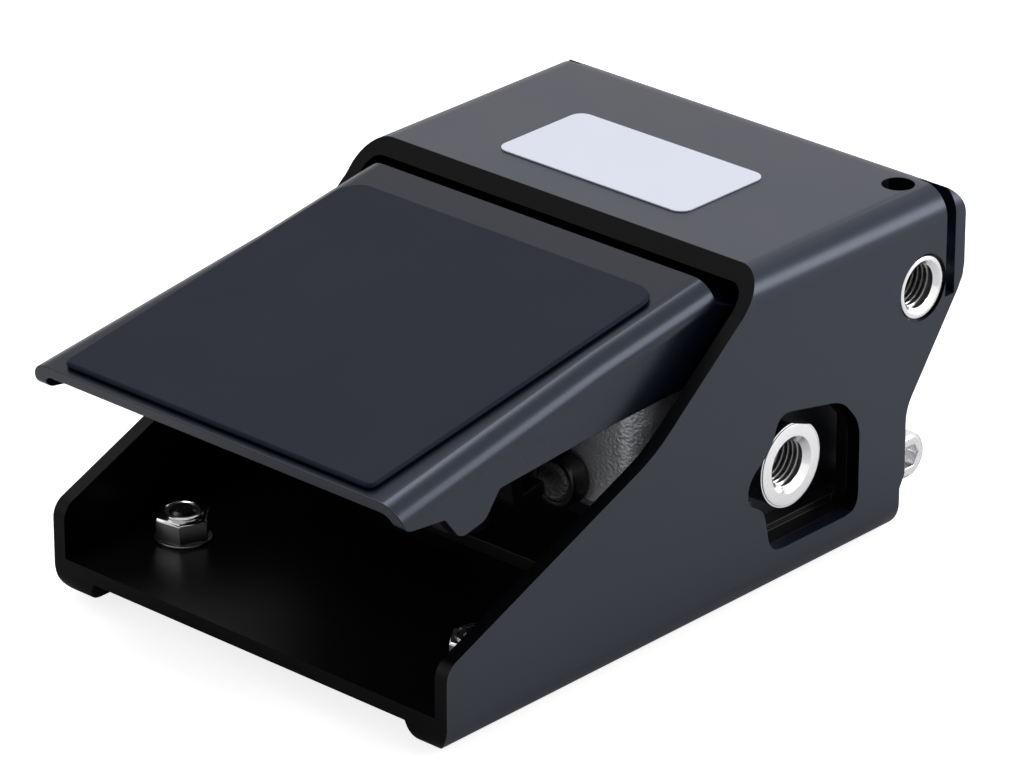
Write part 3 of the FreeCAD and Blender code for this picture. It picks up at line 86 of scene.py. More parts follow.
# turns a mesh that was made about Z so that its axis lies along X
ALONG_X = Matrix.Rotation(math.radians(90), 4, "Y")
log = logging.getLogger("foot_valve")


# shader helpers


class Value:
    """A shader socket that is used like a number in an expression."""

    def __init__(self, tree: bpy.types.NodeTree, socket: bpy.types.NodeSocket) -> None:
        """Wraps one output socket of a node tree."""
        self.tree = tree
        self.socket = socket

    def _math(self, operation: str, first: "Value | float", second: "Value | float") -> "Value":
        """Adds a Math node.

        Args:
            operation: name of the node's operation.
            first: left operand.
            second: right operand.

        Returns:
            The node's result.
        """
        node = self.tree.nodes.new("ShaderNodeMath")
        node.operation = operation
        for socket, operand in zip(node.inputs, (first, second)):
            if isinstance(operand, Value):
                self.tree.links.new(operand.socket, socket)
            else:
                socket.default_value = operand
        return Value(self.tree, node.outputs[0])

    def __add__(self, other: "Value | float") -> "Value":
        """Sum."""
        return self._math("ADD", self, other)

    def __radd__(self, other: float) -> "Value":
        """Sum with a number on the left."""
        return self._math("ADD", other, self)

    def __sub__(self, other: "Value | float") -> "Value":
        """Difference."""
        return self._math("SUBTRACT", self, other)

    def __rsub__(self, other: float) -> "Value":
        """Number minus socket."""
        return self._math("SUBTRACT", other, self)

    def __mul__(self, other: "Value | float") -> "Value":
        """Product."""
        return self._math("MULTIPLY", self, other)


class Painter:
    """Builds one material's node tree around its Principled shader."""

    def __init__(self, name: str) -> None:
        """Starts a material with the object's own coordinates."""
        self.material = bpy.data.materials.new(name)
        self.material.use_nodes = True
        self.tree = self.material.node_tree
        self.shader = self.tree.nodes["Principled BSDF"]
        self.place = self.tree.nodes.new("ShaderNodeTexCoord").outputs["Object"]

    def node(self, kind: str, settings: dict, values: dict, output: int | str = 0) -> Value:
        """Adds any node.

        Args:
            kind: the node's type name.
            settings: attributes that are set first.
            values: input socket names or numbers with values or sockets.
            output: which output to hand back.

        Returns:
            That output.
        """
        node = self.tree.nodes.new(kind)
        for name, value in settings.items():
            setattr(node, name, value)
        for name, value in values.items():
            if isinstance(value, Value):
                value = value.socket
            if isinstance(value, bpy.types.NodeSocket):
                self.tree.links.new(value, node.inputs[name])
            else:
                node.inputs[name].default_value = value
        return Value(self.tree, node.outputs[output])

    def stretched(self, scale: Sequence[float]) -> Value:
        """Object coordinates, scaled differently along each axis."""
        return self.node("ShaderNodeMapping", {}, {"Vector": self.place, "Scale": tuple(scale)})

    def noise(self, size_mm: float, detail: float = 2.0, rough: float = 0.5,
              place: Value | None = None) -> Value:
        """Noise whose blobs are about size_mm across.

        Args:
            size_mm: size of a blob.
            detail: octaves.
            rough: weight of the finer octaves.
            place: coordinates, the object's own where left out.

        Returns:
            Noise value around a half.
        """
        where = place.socket if place else self.place
        return self.node("ShaderNodeTexNoise", {},
                         {"Vector": where, "Scale": 1.0 / (size_mm * MM), "Detail": detail,
                          "Roughness": rough})

    def cells(self, size_mm: float) -> Value:
        """Distance to the nearest of many scattered points, about size_mm apart."""
        return self.node("ShaderNodeTexVoronoi", {},
                         {"Vector": self.place, "Scale": 1.0 / (size_mm * MM)}, "Distance")

    def blend(self, amount: Value, first: Sequence[float], second: Sequence[float]) -> Value:
        """Mix of two colours by an amount from zero to one."""
        return self.node("ShaderNodeMix", {"data_type": "RGBA"},
                         {0: amount, 6: (*first, 1.0), 7: (*second, 1.0)}, 2)

    def bump(self, height: Value, strength: float, depth_mm: float) -> Value:
        """Bump node over a height.

        Args:
            height: the height as a socket.
            strength: how strong it is.
            depth_mm: what a height of one stands for.

        Returns:
            The normal.
        """
        return self.node("ShaderNodeBump", {}, {"Height": height, "Strength": strength,
                                                "Distance": depth_mm * MM})

    def set(self, **sockets: "Value | float | Sequence[float]") -> None:
        """Sets or links the shader's sockets; an underscore stands for a space."""
        for name, value in sockets.items():
            socket = self.shader.inputs[name.replace("_", " ")]
            if isinstance(value, Value):
                self.tree.links.new(value.socket, socket)
            elif isinstance(value, (tuple, list)):
                socket.default_value = (*value, 1.0)
            else:
                socket.default_value = value


# finishes


class Surface(Enum):
    """How a finish was made, which decides its grain."""

    POWDER = "powder coat"
    ANODISED = "anodised"
    CAST = "cast and blasted"
    PLATED = "turned and plated"
    TURNED = "turned"
    WIRE = "drawn wire"
    MOULDED = "moulded"
    RUBBER = "rubber"
    FILM = "printed film"
    POROUS = "sintered"


# size of the cloudiness that every finish has, and how strong the bump of each surface is
BROAD_MM = 22.0
PLAIN_STRENGTH = 0.35
STRENGTHS = {Surface.CAST: 0.8, Surface.PLATED: 0.2, Surface.TURNED: 0.2,
             Surface.POROUS: 0.9, Surface.FILM: 0.08}


@dataclass(frozen=True)
class Finish:
    """One finish: its colour, gloss and the scale of its grain."""

    name: str
    surface: Surface
    colour: tuple[float, float, float]
    roughness: float
    metallic: float = 0.0
    specular: float = 0.5
    grain_mm: float = 0.8
    depth_mm: float = 0.01
    mottle: float = 0.08
    axis: tuple[float, float, float] = (1.0, 1.0, 1.0)
    tint: tuple[float, float, float] = (1.0, 1.0, 1.0)

    def shade(self, factor: float) -> tuple[float, float, float]:
        """The colour, lighter or darker."""
        red, green, blue = self.colour
        return (red * factor, green * factor, blue * factor)

    def uneven(self, pattern: Value, share: float) -> Value:
        """The roughness, which varies with a pattern by a share of itself."""
        return self.roughness + (pattern - 0.5) * (self.roughness * share)

    def grain(self, paint: Painter) -> tuple[Value, Value, Value]:
        """Patterns of the surface.

        Args:
            paint: the material's painter.

        Returns:
            Where the colour varies, the height of the grain, and the roughness.
        """
        broad = paint.noise(BROAD_MM, 3.0)
        fine = paint.noise(self.grain_mm, 2.0, 0.6)
        rough = self.uneven(broad, 0.25)
        if self.surface is Surface.CAST:
            pits = paint.cells(self.grain_mm * 1.6)
            swirl = paint.noise(self.grain_mm * 7.0, 4.0, 0.65)
            return (swirl * 0.6 + fine * 0.4, fine * 0.6 + pits * 0.7 + swirl * 0.5,
                    self.roughness + (swirl - 0.5) * 0.25)
        if self.surface in (Surface.PLATED, Surface.TURNED):
            rings = paint.noise(self.grain_mm, 3.0, 0.6, paint.stretched(self.axis))
            return rings, rings, self.uneven(rings, 0.7)
        if self.surface is Surface.POROUS:
            pores = paint.cells(self.grain_mm)
            return pores, 1.0 - pores, rough
        if self.surface is Surface.RUBBER:
            return broad, fine * 0.7 + paint.noise(self.grain_mm * 3.0) * 0.3, rough
        if self.surface is Surface.WIRE:
            return fine, fine, rough
        return broad, fine, rough

    def build(self) -> bpy.types.Material:
        """Makes the material.

        Returns:
            A material with colour, roughness and bump from its nodes.
        """
        paint = Painter(self.name)
        where, height, rough = self.grain(paint)
        strength = STRENGTHS.get(self.surface, PLAIN_STRENGTH)
        paint.set(Base_Color=paint.blend(where, self.shade(1.0 - self.mottle),
                                         self.shade(1.0 + self.mottle)),
                  Roughness=rough,
                  Normal=paint.bump(height, strength, self.depth_mm),
                  Metallic=self.metallic,
                  Specular_IOR_Level=self.specular,
                  Specular_Tint=self.tint)
        return paint.material


# tint of the black paint's gloss
COOL = (0.70, 0.79, 1.0)
# how the noise is squeezed for tool marks round an axis
ACROSS_X = (14.0, 1.0, 1.0)
ACROSS_Z = (1.0, 1.0, 14.0)

FINISHES: dict[str, Finish] = {
    "housing_black": Finish("housing_black", Surface.POWDER, (0.0026, 0.0040, 0.0100), 0.34,
                            specular=0.56, grain_mm=0.9, depth_mm=0.006, tint=COOL),
    # painted shade: a darker, duller copy of the housing paint for its inner side and cut front
    # edge
    "inner_painted_shade": Finish("inner_painted_shade", Surface.POWDER, (0.0012, 0.0014, 0.0020), 0.32,
                          specular=0.08, grain_mm=0.9, depth_mm=0.006),
    "frame_black": Finish("frame_black", Surface.POWDER, (0.0014, 0.0015, 0.0020), 0.42,
                          specular=0.22, grain_mm=0.9, depth_mm=0.006),
    "block_black": Finish("block_black", Surface.ANODISED, (0.0020, 0.0021, 0.0030), 0.38,
                          specular=0.35, tint=COOL, grain_mm=0.5, depth_mm=0.008),
    "cast_grey": Finish("cast_grey", Surface.CAST, (0.72, 0.73, 0.77), 0.46, metallic=0.75,
                        grain_mm=0.5, depth_mm=0.16, mottle=0.3),
    "port_metal": Finish("port_metal", Surface.PLATED, (0.93, 0.93, 0.935), 0.24, metallic=1.0,
                         grain_mm=1.2, depth_mm=0.01, mottle=0.05, axis=ACROSS_X),
    # painted shade: a darker copy of the port metal for the faces deep in the thread
    "port_bore_painted_shade": Finish("port_bore_painted_shade", Surface.PLATED, (0.42, 0.42, 0.43), 0.22, metallic=1.0,
                        grain_mm=1.0, depth_mm=0.01, mottle=0.08, axis=ACROSS_X),
    "plug_metal": Finish("plug_metal", Surface.PLATED, (0.80, 0.80, 0.81), 0.26, metallic=1.0,
                         grain_mm=1.2, depth_mm=0.01, mottle=0.05, axis=ACROSS_X),
    "holder_black": Finish("holder_black", Surface.MOULDED, (0.008, 0.008, 0.009), 0.3,
                           grain_mm=0.7),
    "sintered": Finish("sintered", Surface.POROUS, (0.13, 0.135, 0.14), 0.6, metallic=0.5,
                       grain_mm=0.7, depth_mm=0.25, mottle=0.45),
    "spool_metal": Finish("spool_metal", Surface.TURNED, (0.6, 0.61, 0.63), 0.25, metallic=1.0,
                          axis=ACROSS_Z),
    "seal_rubber": Finish("seal_rubber", Surface.RUBBER, (0.012, 0.012, 0.013), 0.6),
    "cap_metal": Finish("cap_metal", Surface.TURNED, (0.5, 0.51, 0.53), 0.32, metallic=1.0,
                        axis=ACROSS_Z),
    "plunger_metal": Finish("plunger_metal", Surface.TURNED, (0.55, 0.56, 0.58), 0.28,
                            metallic=1.0, axis=ACROSS_Z),
    "spring_wire": Finish("spring_wire", Surface.WIRE, (0.45, 0.46, 0.48), 0.3, metallic=1.0,
                          grain_mm=0.4),
    "pedal_black": Finish("pedal_black", Surface.POWDER, (0.0026, 0.0036, 0.0085), 0.27,
                          specular=0.50, grain_mm=0.9, depth_mm=0.006, tint=COOL),
    # painted shade: a darker, less glossy copy of the pedal paint on its flat top faces
    "pedal_top": Finish("pedal_top", Surface.POWDER, (0.0024, 0.0034, 0.0080), 0.32,
                        specular=0.26, grain_mm=0.9, depth_mm=0.006, tint=COOL),
    "pad_rubber": Finish("pad_rubber", Surface.RUBBER, (0.0052, 0.0070, 0.0150), 0.5,
                         specular=0.11, tint=COOL, grain_mm=0.7, depth_mm=0.008),
    "bracket_black": Finish("bracket_black", Surface.POWDER, (0.0026, 0.0026, 0.0034), 0.4,
                            specular=0.35, grain_mm=0.9, depth_mm=0.006),
    "screw_zinc": Finish("screw_zinc", Surface.TURNED, (0.08, 0.08, 0.085), 0.25, metallic=1.0,
                         axis=ACROSS_Z),
    "washer_zinc": Finish("washer_zinc", Surface.TURNED, (0.2, 0.2, 0.21), 0.35, metallic=1.0,
                          axis=ACROSS_Z),
    "nut_zinc": Finish("nut_zinc", Surface.TURNED, (0.55, 0.55, 0.56), 0.12, metallic=1.0,
                       grain_mm=2.0, axis=ACROSS_Z),
    "nylon_ring": Finish("nylon_ring", Surface.MOULDED, (0.02, 0.02, 0.022), 0.35),
    "pin_steel": Finish("pin_steel", Surface.TURNED, (0.5, 0.51, 0.53), 0.25, metallic=1.0,
                        axis=ACROSS_X),
    "sleeve_polymer": Finish("sleeve_polymer", Surface.MOULDED, (0.02, 0.02, 0.022), 0.4),
    "label_film": Finish("label_film", Surface.FILM, (0.66, 0.70, 0.80), 0.45, grain_mm=1.4,
                         depth_mm=0.004, mottle=0.02),
    "foot_rubber": Finish("foot_rubber", Surface.RUBBER, (0.014, 0.014, 0.015), 0.7,
                          grain_mm=0.6, depth_mm=0.03),
    "screw_black": Finish("screw_black", Surface.ANODISED, (0.01, 0.01, 0.011), 0.4,
                          grain_mm=0.5),
}


@dataclass(frozen=True)
class Softening:
    """How one CAD node's sharp edges are rounded; its slot is also its finish."""

    node: str
    slot: str
    width_mm: float
    body: str = "base"
    segments: int = 2


class Workshop:
    """Keeps the finished materials and puts new pieces into the scene."""

    def __init__(self, frame: dict) -> None:
        """Builds every finish once."""
        self.frame = frame
        self.materials = {name: finish.build() for name, finish in FINISHES.items()}

    def finish(self, piece: bpy.types.Object, name: str) -> None:
        """Gives a piece one material."""
        piece.data.materials.clear()
        piece.data.materials.append(self.materials[name])

    def add(self, name: str, shape: bmesh.types.BMesh, finish: str, body: str, slot: str,
            *replaced: str, smooth_deg: float = 32.0) -> bpy.types.Object:
        """Turns a bmesh into a piece that rides on a body.

        Args:
            name: the piece's name.
            shape: its mesh, in metres and in place; it is freed.
            finish: name of its finish.
            body: the body that carries it.
            slot: the record's material slot; not used.
            replaced: CAD nodes that it stands for.
            smooth_deg: edges sharper than this stay sharp.

        Returns:
            The new object.
        """
        mesh = bpy.data.meshes.new(name)
        shape.to_mesh(mesh)
        shape.free()
        mesh.shade_smooth()
        mesh.set_sharp_from_angle(angle=math.radians(smooth_deg))
        piece = bpy.data.objects.new(name, mesh)
        bpy.context.scene.collection.objects.link(piece)
        self.finish(piece, finish)
        weighted = piece.modifiers.new("weighted", "WEIGHTED_NORMAL")
        weighted.keep_sharp = True
        weighted.weight = 90
        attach(piece, body)
        if replaced:
            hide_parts(*replaced)
        log.info("%s: %d faces, on %s", name, len(mesh.polygons), body)
        return piece

    def soften(self, *rows: Softening) -> list[bpy.types.Object]:
        """Copies CAD nodes with their sharp edges rounded.

        Args:
            rows: the nodes and how each is rounded.

        Returns:
            The pieces that stand for the nodes.
        """
        return [self.rounded(self.copy_of(row.node), row) for row in rows]

    def copy_of(self, node: str) -> bmesh.types.BMesh:
        """Copy of a CAD node's mesh, merged, with its flat faces whole again."""
        source = self.frame["nodes"][node]
        shape = bmesh.new()
        shape.from_mesh(source.data)
        shape.transform(source.matrix_world)
        bmesh.ops.remove_doubles(shape, verts=shape.verts, dist=MERGE_MM * MM)
        bmesh.ops.dissolve_degenerate(shape, edges=shape.edges, dist=MERGE_MM * MM)
        bmesh.ops.dissolve_limit(shape, angle_limit=math.radians(FLAT_DEG), verts=shape.verts,
                                 edges=shape.edges, use_dissolve_boundaries=False)
        return shape

    def rounded(self, shape: bmesh.types.BMesh, row: Softening) -> bpy.types.Object:
        """Rounds a shape's sharp edges and adds it in a node's stead.

        Args:
            shape: the mesh, in place.
            row: the node that it stands for and how it is rounded.

        Returns:
            The piece.
        """
        sharp = [edge for edge in shape.edges if len(edge.link_faces) == 2
                 and edge.calc_face_angle(0.0) > math.radians(SHARP_DEG)]
        bmesh.ops.bevel(shape, geom=sharp, offset=row.width_mm * MM, offset_type="OFFSET",
                        segments=row.segments, profile=0.5, affect="EDGES", material=-1,
                        clamp_overlap=True)
        return self.add("%s_soft" % row.node, shape, row.slot, row.body, row.slot, row.node,
                        smooth_deg=SMOOTH_DEG)

    def part_finish(self, piece: bpy.types.Object, name: str,
                    wanted: Callable[[Vector, Vector], bool]) -> None:
        """Gives a second material to some faces.

        Args:
            piece: the piece.
            name: the second finish.
            wanted: says of a face's middle, in millimetres, and normal whether it is one.
        """
        piece.data.materials.append(self.materials[name])
        for face in piece.data.polygons:
            if wanted(face.center / MM, face.normal):
                face.material_index = 1


# mesh helpers


def turned(profile: Iterable[tuple[float, float]], steps: int = 64) -> bmesh.types.BMesh:
    """Spins a profile of (radius, height) corners, in millimetres, about Z.

    Args:
        profile: corners of a closed outline, or of one that ends on the axis.
        steps: steps round the circle.

    Returns:
        A closed mesh about the Z axis, in metres.
    """
    shape = bmesh.new()
    corners = [shape.verts.new((radius * MM, 0.0, height * MM)) for radius, height in profile]
    edges = [shape.edges.new(pair) for pair in zip(corners, corners[1:])]
    if corners[0].co.x > ON_AXIS or corners[-1].co.x > ON_AXIS:
        edges.append(shape.edges.new((corners[-1], corners[0])))
    bmesh.ops.spin(shape, geom=corners + edges, cent=(0, 0, 0), axis=(0, 0, 1),
                   angle=math.tau, steps=steps, use_merge=True)
    bmesh.ops.remove_doubles(shape, verts=shape.verts, dist=WELD)
    empty = [face for face in shape.faces if face.calc_area() < NO_AREA]
    bmesh.ops.delete(shape, geom=empty, context="FACES")
    bmesh.ops.recalc_face_normals(shape, faces=shape.faces)
    return shape


def coil(section: Sequence[tuple[float, float]], pitch_mm: float, turns: float,
         start_mm: float, per_turn: int = 40) -> bmesh.types.BMesh:
    """Closed coil of a small section that climbs along Z, such as a thread's ridge.

    Args:
        section: (radius, height) corners of the section.
        pitch_mm: climb for each turn.
        turns: number of turns.
        start_mm: height of the section's own zero at the start.
        per_turn: steps for each turn.

    Returns:
        The coil's mesh, in metres.
    """
    shape = bmesh.new()
    corners = [shape.verts.new((radius * MM, 0.0, (height + start_mm) * MM))
               for radius, height in section]
    cap = shape.faces.new(corners)
    steps = round(turns * per_turn)
    bmesh.ops.spin(shape, geom=[cap], cent=(0, 0, 0), axis=(0, 0, 1),
                   dvec=(0, 0, pitch_mm * MM / per_turn), angle=math.tau * steps / per_turn,
                   steps=steps)
    bmesh.ops.recalc_face_normals(shape, faces=shape.faces)
    return shape


def closed_loops(edges: Iterable[bmesh.types.BMEdge]) -> list[list[bmesh.types.BMVert]]:
    """Sorts edges into closed loops of vertices, each in its own order."""
    left = set(edges)
    loops = []
    while left:
        edge = left.pop()
        loop = [edge.verts[0], edge.verts[1]]
        while True:
            step = next((e for e in loop[-1].link_edges if e in left), None)
            if step is None:
                break
            left.remove(step)
            loop.append(step.other_vert(loop[-1]))
        if loop[-1] is loop[0]:
            loops.append(loop[:-1])
    return loops


def averaged(loop: Sequence[bmesh.types.BMVert], reach: float,
             samples: int = 24) -> dict[bmesh.types.BMVert, Vector]:
    """Mean of a closed loop's line within a reach on either side of each vertex.

    Args:
        loop: the loop's vertices in order.
        reach: how far the mean looks along the line, in metres.
        samples: points that it takes on either side.

    Returns:
        The new place of each vertex.
    """
    places = [vert.co.copy() for vert in loop]
    runs = [(b - a).length for a, b in zip(places, places[1:] + places[:1])]
    starts = [sum(runs[:k]) for k in range(len(runs) + 1)]

    def at(distance: float) -> Vector:
        """Place on the line at a distance from its start."""
        distance %= starts[-1]
        k = max(i for i, start in enumerate(starts[:-1]) if start <= distance)
        share = (distance - starts[k]) / runs[k] if runs[k] else 0.0
        return places[k].lerp(places[(k + 1) % len(places)], share)

    offsets = [reach * k / samples for k in range(-samples, samples + 1)]
    return {vert: sum((at(start + offset) for offset in offsets), Vector()) / len(offsets)
            for vert, start in zip(loop, starts)}


def sliced(shape: bmesh.types.BMesh, point: Vector, outward: Vector,
           geometry: list | None = None) -> None:
    """Cuts off what lies beyond a plane and closes the cut.

    Args:
        shape: the mesh to cut.
        point: a point of the plane.
        outward: the side that goes.
        geometry: vertices, edges and faces that the cut may touch; all where left out.
    """
    touched = geometry or [*shape.verts, *shape.edges, *shape.faces]
    cut = bmesh.ops.bisect_plane(shape, geom=touched, plane_co=point, plane_no=outward,
                                 clear_outer=True, dist=WELD)
    rim = [e for e in cut["geom_cut"] if isinstance(e, bmesh.types.BMEdge)]
    bmesh.ops.holes_fill(shape, edges=[e for e in rim if len(e.link_faces) == 1], sides=0)
    bmesh.ops.recalc_face_normals(shape, faces=shape.faces)


def joined(*shapes: bmesh.types.BMesh) -> bmesh.types.BMesh:
    """Puts several meshes into the first and frees the others."""
    first = shapes[0]
    for other in shapes[1:]:
        mesh = bpy.data.meshes.new("part")
        other.to_mesh(mesh)
        other.free()
        first.from_mesh(mesh)
        bpy.data.meshes.remove(mesh)
    return first


def corners(node: str) -> tuple[Vector, Vector]:
    """Lowest and highest corner of a CAD node's box, in metres."""
    low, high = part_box(node)
    return Vector(low), Vector(high)


def highest_x(node: str) -> float:
    """Highest x of a CAD node's box, in millimetres."""
    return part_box(node)[1][0] / MM


# sub-assemblies


@dataclass
class Shell:
    """The bent housing with its frame and label."""

    edge_mm: float = 0.55
    frame_edge_mm: float = 0.4
    label_edge_mm: float = 0.12
    inner_half_mm: float = 54.9
    inner_top_mm: float = 75.1
    inner_rear_mm: float = 84.0
    cut_half_mm: float = 57.3
    cut_facing: float = -0.35
    upright: float = 0.9
    brow_low_mm: float = 69.0
    brow_top_mm: float = 78.3
    brow_front_mm: float = 22.0
    brow_fade_mm: float = 22.0
    brow_lean_mm: float = 2.9
    window_low_mm: tuple[float, float, float] = (54.0, 10.0, 9.0)
    window_high_mm: tuple[float, float, float] = (58.5, 56.0, 46.0)
    window_cuts: int = 11
    window_reach_mm: float = 3.4

    def build(self, shop: Workshop) -> None:
        """Rounds the edges of the sheet pieces."""
        shape = shop.copy_of("housing")
        self.round_window(shape)
        for vert in shape.verts:
            vert.co.y += self.lean(vert.co / MM) * MM
        housing = shop.rounded(shape, Softening("housing", "housing_black", self.edge_mm))
        # the inner side and the cut front edge take a darker copy of the paint as painted shade
        shop.part_finish(housing, "inner_painted_shade", self.inside)
        shop.soften(Softening("inner_frame", "frame_black", self.frame_edge_mm),
                    Softening("label_plate", "label_film", self.label_edge_mm))

    def round_window(self, shape: bmesh.types.BMesh) -> None:
        """Gives the window's outline rounder corners, on both faces of the wall alike."""
        bmesh.ops.subdivide_edges(shape, edges=self.window_rim(shape), cuts=self.window_cuts)
        moves = {}
        for loop in closed_loops(self.window_rim(shape)):
            moves.update(averaged(loop, self.window_reach_mm * MM))
        for vert, place in moves.items():
            vert.co = place

    def window_rim(self, shape: bmesh.types.BMesh) -> list[bmesh.types.BMEdge]:
        """Edges where the window meets the wall's two faces."""
        def within(place: Vector) -> bool:
            """Whether a place lies in the window's part of the right wall."""
            return all(low < value / MM < high for low, value, high
                       in zip(self.window_low_mm, place, self.window_high_mm))

        return [edge for edge in shape.edges
                if all(within(vert.co) for vert in edge.verts) and len(edge.link_faces) == 2
                and sum(abs(face.normal.x) > self.upright for face in edge.link_faces) == 1]

    def lean(self, place: Vector) -> float:
        """How far the brow's top leans back at a place, in millimetres."""
        rise = (place.z - self.brow_low_mm) / (self.brow_top_mm - self.brow_low_mm)
        fade = 1.0 - (place.y - self.brow_front_mm) / self.brow_fade_mm
        return self.brow_lean_mm * min(max(rise, 0.0), 1.0) * min(max(fade, 0.0), 1.0)

    def inside(self, place: Vector, normal: Vector) -> bool:
        """Whether a face lies on the sheet's inner side or on its cut front edge, which get
        painted shade.
        """
        within = abs(place.x) < self.inner_half_mm and place.z < self.inner_top_mm
        cut = abs(place.x) < self.cut_half_mm and normal.y < self.cut_facing
        return place.y < self.inner_rear_mm and (within or cut)


@dataclass
class Port:
    """A bright insert with a real internal thread.

    Heights count from the shoulder that meets the block. The sill is the foot of the mouth's
    cone, the ridge is the thread's own section, and the shank is hidden in the block.
    """

    node: str
    shoulder_mm: float
    face_mm: float
    boss_mm: float
    neck_mm: float
    ring_mm: float
    flat_mm: float | None = None
    flat_turn_deg: float = 20.6
    crest_mm: float = 5.15
    root_mm: float = 5.95
    pitch_mm: float = 1.337
    mouth_mm: float = 6.5
    depth_mm: float = 14.6
    wall_round_mm: float = 0.35
    shank_mm: float = 7.95
    shank_end_mm: float = 11.9
    steps: int = 96
    sill_gap_mm: float = 0.08
    sill_slope_mm: tuple[float, float] = (0.45, 0.12)
    lip_mm: float = 0.1
    lip_drop_mm: float = 0.08
    ridge_foot_mm: float = 0.12
    ridge_round_mm: float = 0.04
    ridge_mm: tuple[float, ...] = (0.0, 0.54, 0.62, 0.74, 0.82, 1.32)
    ridge_steps: int = 48
    run_out_mm: float = 1.5
    bore_margin_mm: float = 0.2
    cone_share: float = 0.9
    flat_from_mm: float = -0.05

    @property
    def rise_mm(self) -> float:
        """Height of the face above the shoulder."""
        return self.face_mm - self.shoulder_mm

    @property
    def cone_mm(self) -> float:
        """Depth of the cone at the mouth."""
        return self.mouth_mm - self.crest_mm

    def outline(self) -> list[tuple[float, float]]:
        """Half section of the insert, as (radius, height) from the bore's bottom outward."""
        face = self.rise_mm
        bottom = face - self.depth_mm
        sill = face - self.cone_mm
        wall = self.crest_mm + self.sill_gap_mm
        low, high = self.sill_slope_mm
        drop = self.wall_round_mm
        return [
            (0.0, bottom), (self.root_mm, bottom), (self.root_mm, sill - low),
            (wall, sill - high), (wall, sill), (self.mouth_mm, face - self.lip_drop_mm),
            (self.mouth_mm + self.lip_mm, face), (self.ring_mm - drop, face),
            (self.ring_mm - drop * 0.3, face - drop * 0.3), (self.ring_mm, face - drop),
            (self.ring_mm, self.neck_mm), (self.boss_mm, self.neck_mm), (self.boss_mm, 0.0),
            (self.shank_mm, 0.0), (self.shank_mm, -self.shank_end_mm),
            (0.0, -self.shank_end_mm),
        ]

    def ridge(self) -> list[tuple[float, float]]:
        """Section of the thread's ridge, as (radius, height)."""
        foot = self.root_mm + self.ridge_foot_mm
        shoulder = self.crest_mm + self.ridge_round_mm
        radii = (foot, shoulder, self.crest_mm, self.crest_mm, shoulder, foot)
        return list(zip(radii, self.ridge_mm))

    def build(self, shop: Workshop, slot: str, centre: Vector) -> None:
        """Turns the insert, mills its flat and cuts the thread.

        Args:
            shop: where the piece goes.
            slot: its material slot.
            centre: a point of its axis, in the row frame.
        """
        body = turned(self.outline(), self.steps)
        if self.flat_mm is not None:
            self._mill(body)
        turns = (self.depth_mm - self.cone_mm - self.run_out_mm) / self.pitch_mm
        thread = coil(self.ridge(), self.pitch_mm, turns, self.rise_mm - self.depth_mm,
                      self.ridge_steps)
        shape = joined(body, thread)
        place = Matrix.Translation(Vector((self.shoulder_mm * MM, centre.y, centre.z)))
        shape.transform(place @ ALONG_X)
        piece = shop.add(self.node + "_threaded", shape, slot, "base", slot, self.node,
                         smooth_deg=28.0)
        # faces deep in the thread take the darker metal as painted shade
        shop.part_finish(piece, "port_bore_painted_shade", lambda middle, normal: self._in_bore(middle, centre))

    def _in_bore(self, middle: Vector, centre: Vector) -> bool:
        """Whether a face's middle lies in the thread, below the mouth's cone, where shade is
        painted.
        """
        reach = math.hypot(middle.y - centre.y / MM, middle.z - centre.z / MM)
        return (reach < self.root_mm + self.bore_margin_mm
                and middle.x < self.face_mm - self.cone_mm * self.cone_share)

    def _mill(self, body: bmesh.types.BMesh) -> None:
        """Cuts the flat on the boss, along the whole of its length above the shoulder."""
        turn = math.radians(self.flat_turn_deg)
        outward = Vector((-math.cos(turn), math.sin(turn), 0.0))
        faces = [f for f in body.faces
                 if f.calc_center_median().z > self.flat_from_mm * MM]
        geometry = list({*faces, *(e for f in faces for e in f.edges),
                         *(v for f in faces for v in f.verts)})
        sliced(body, outward * self.flat_mm * MM, outward, geometry)


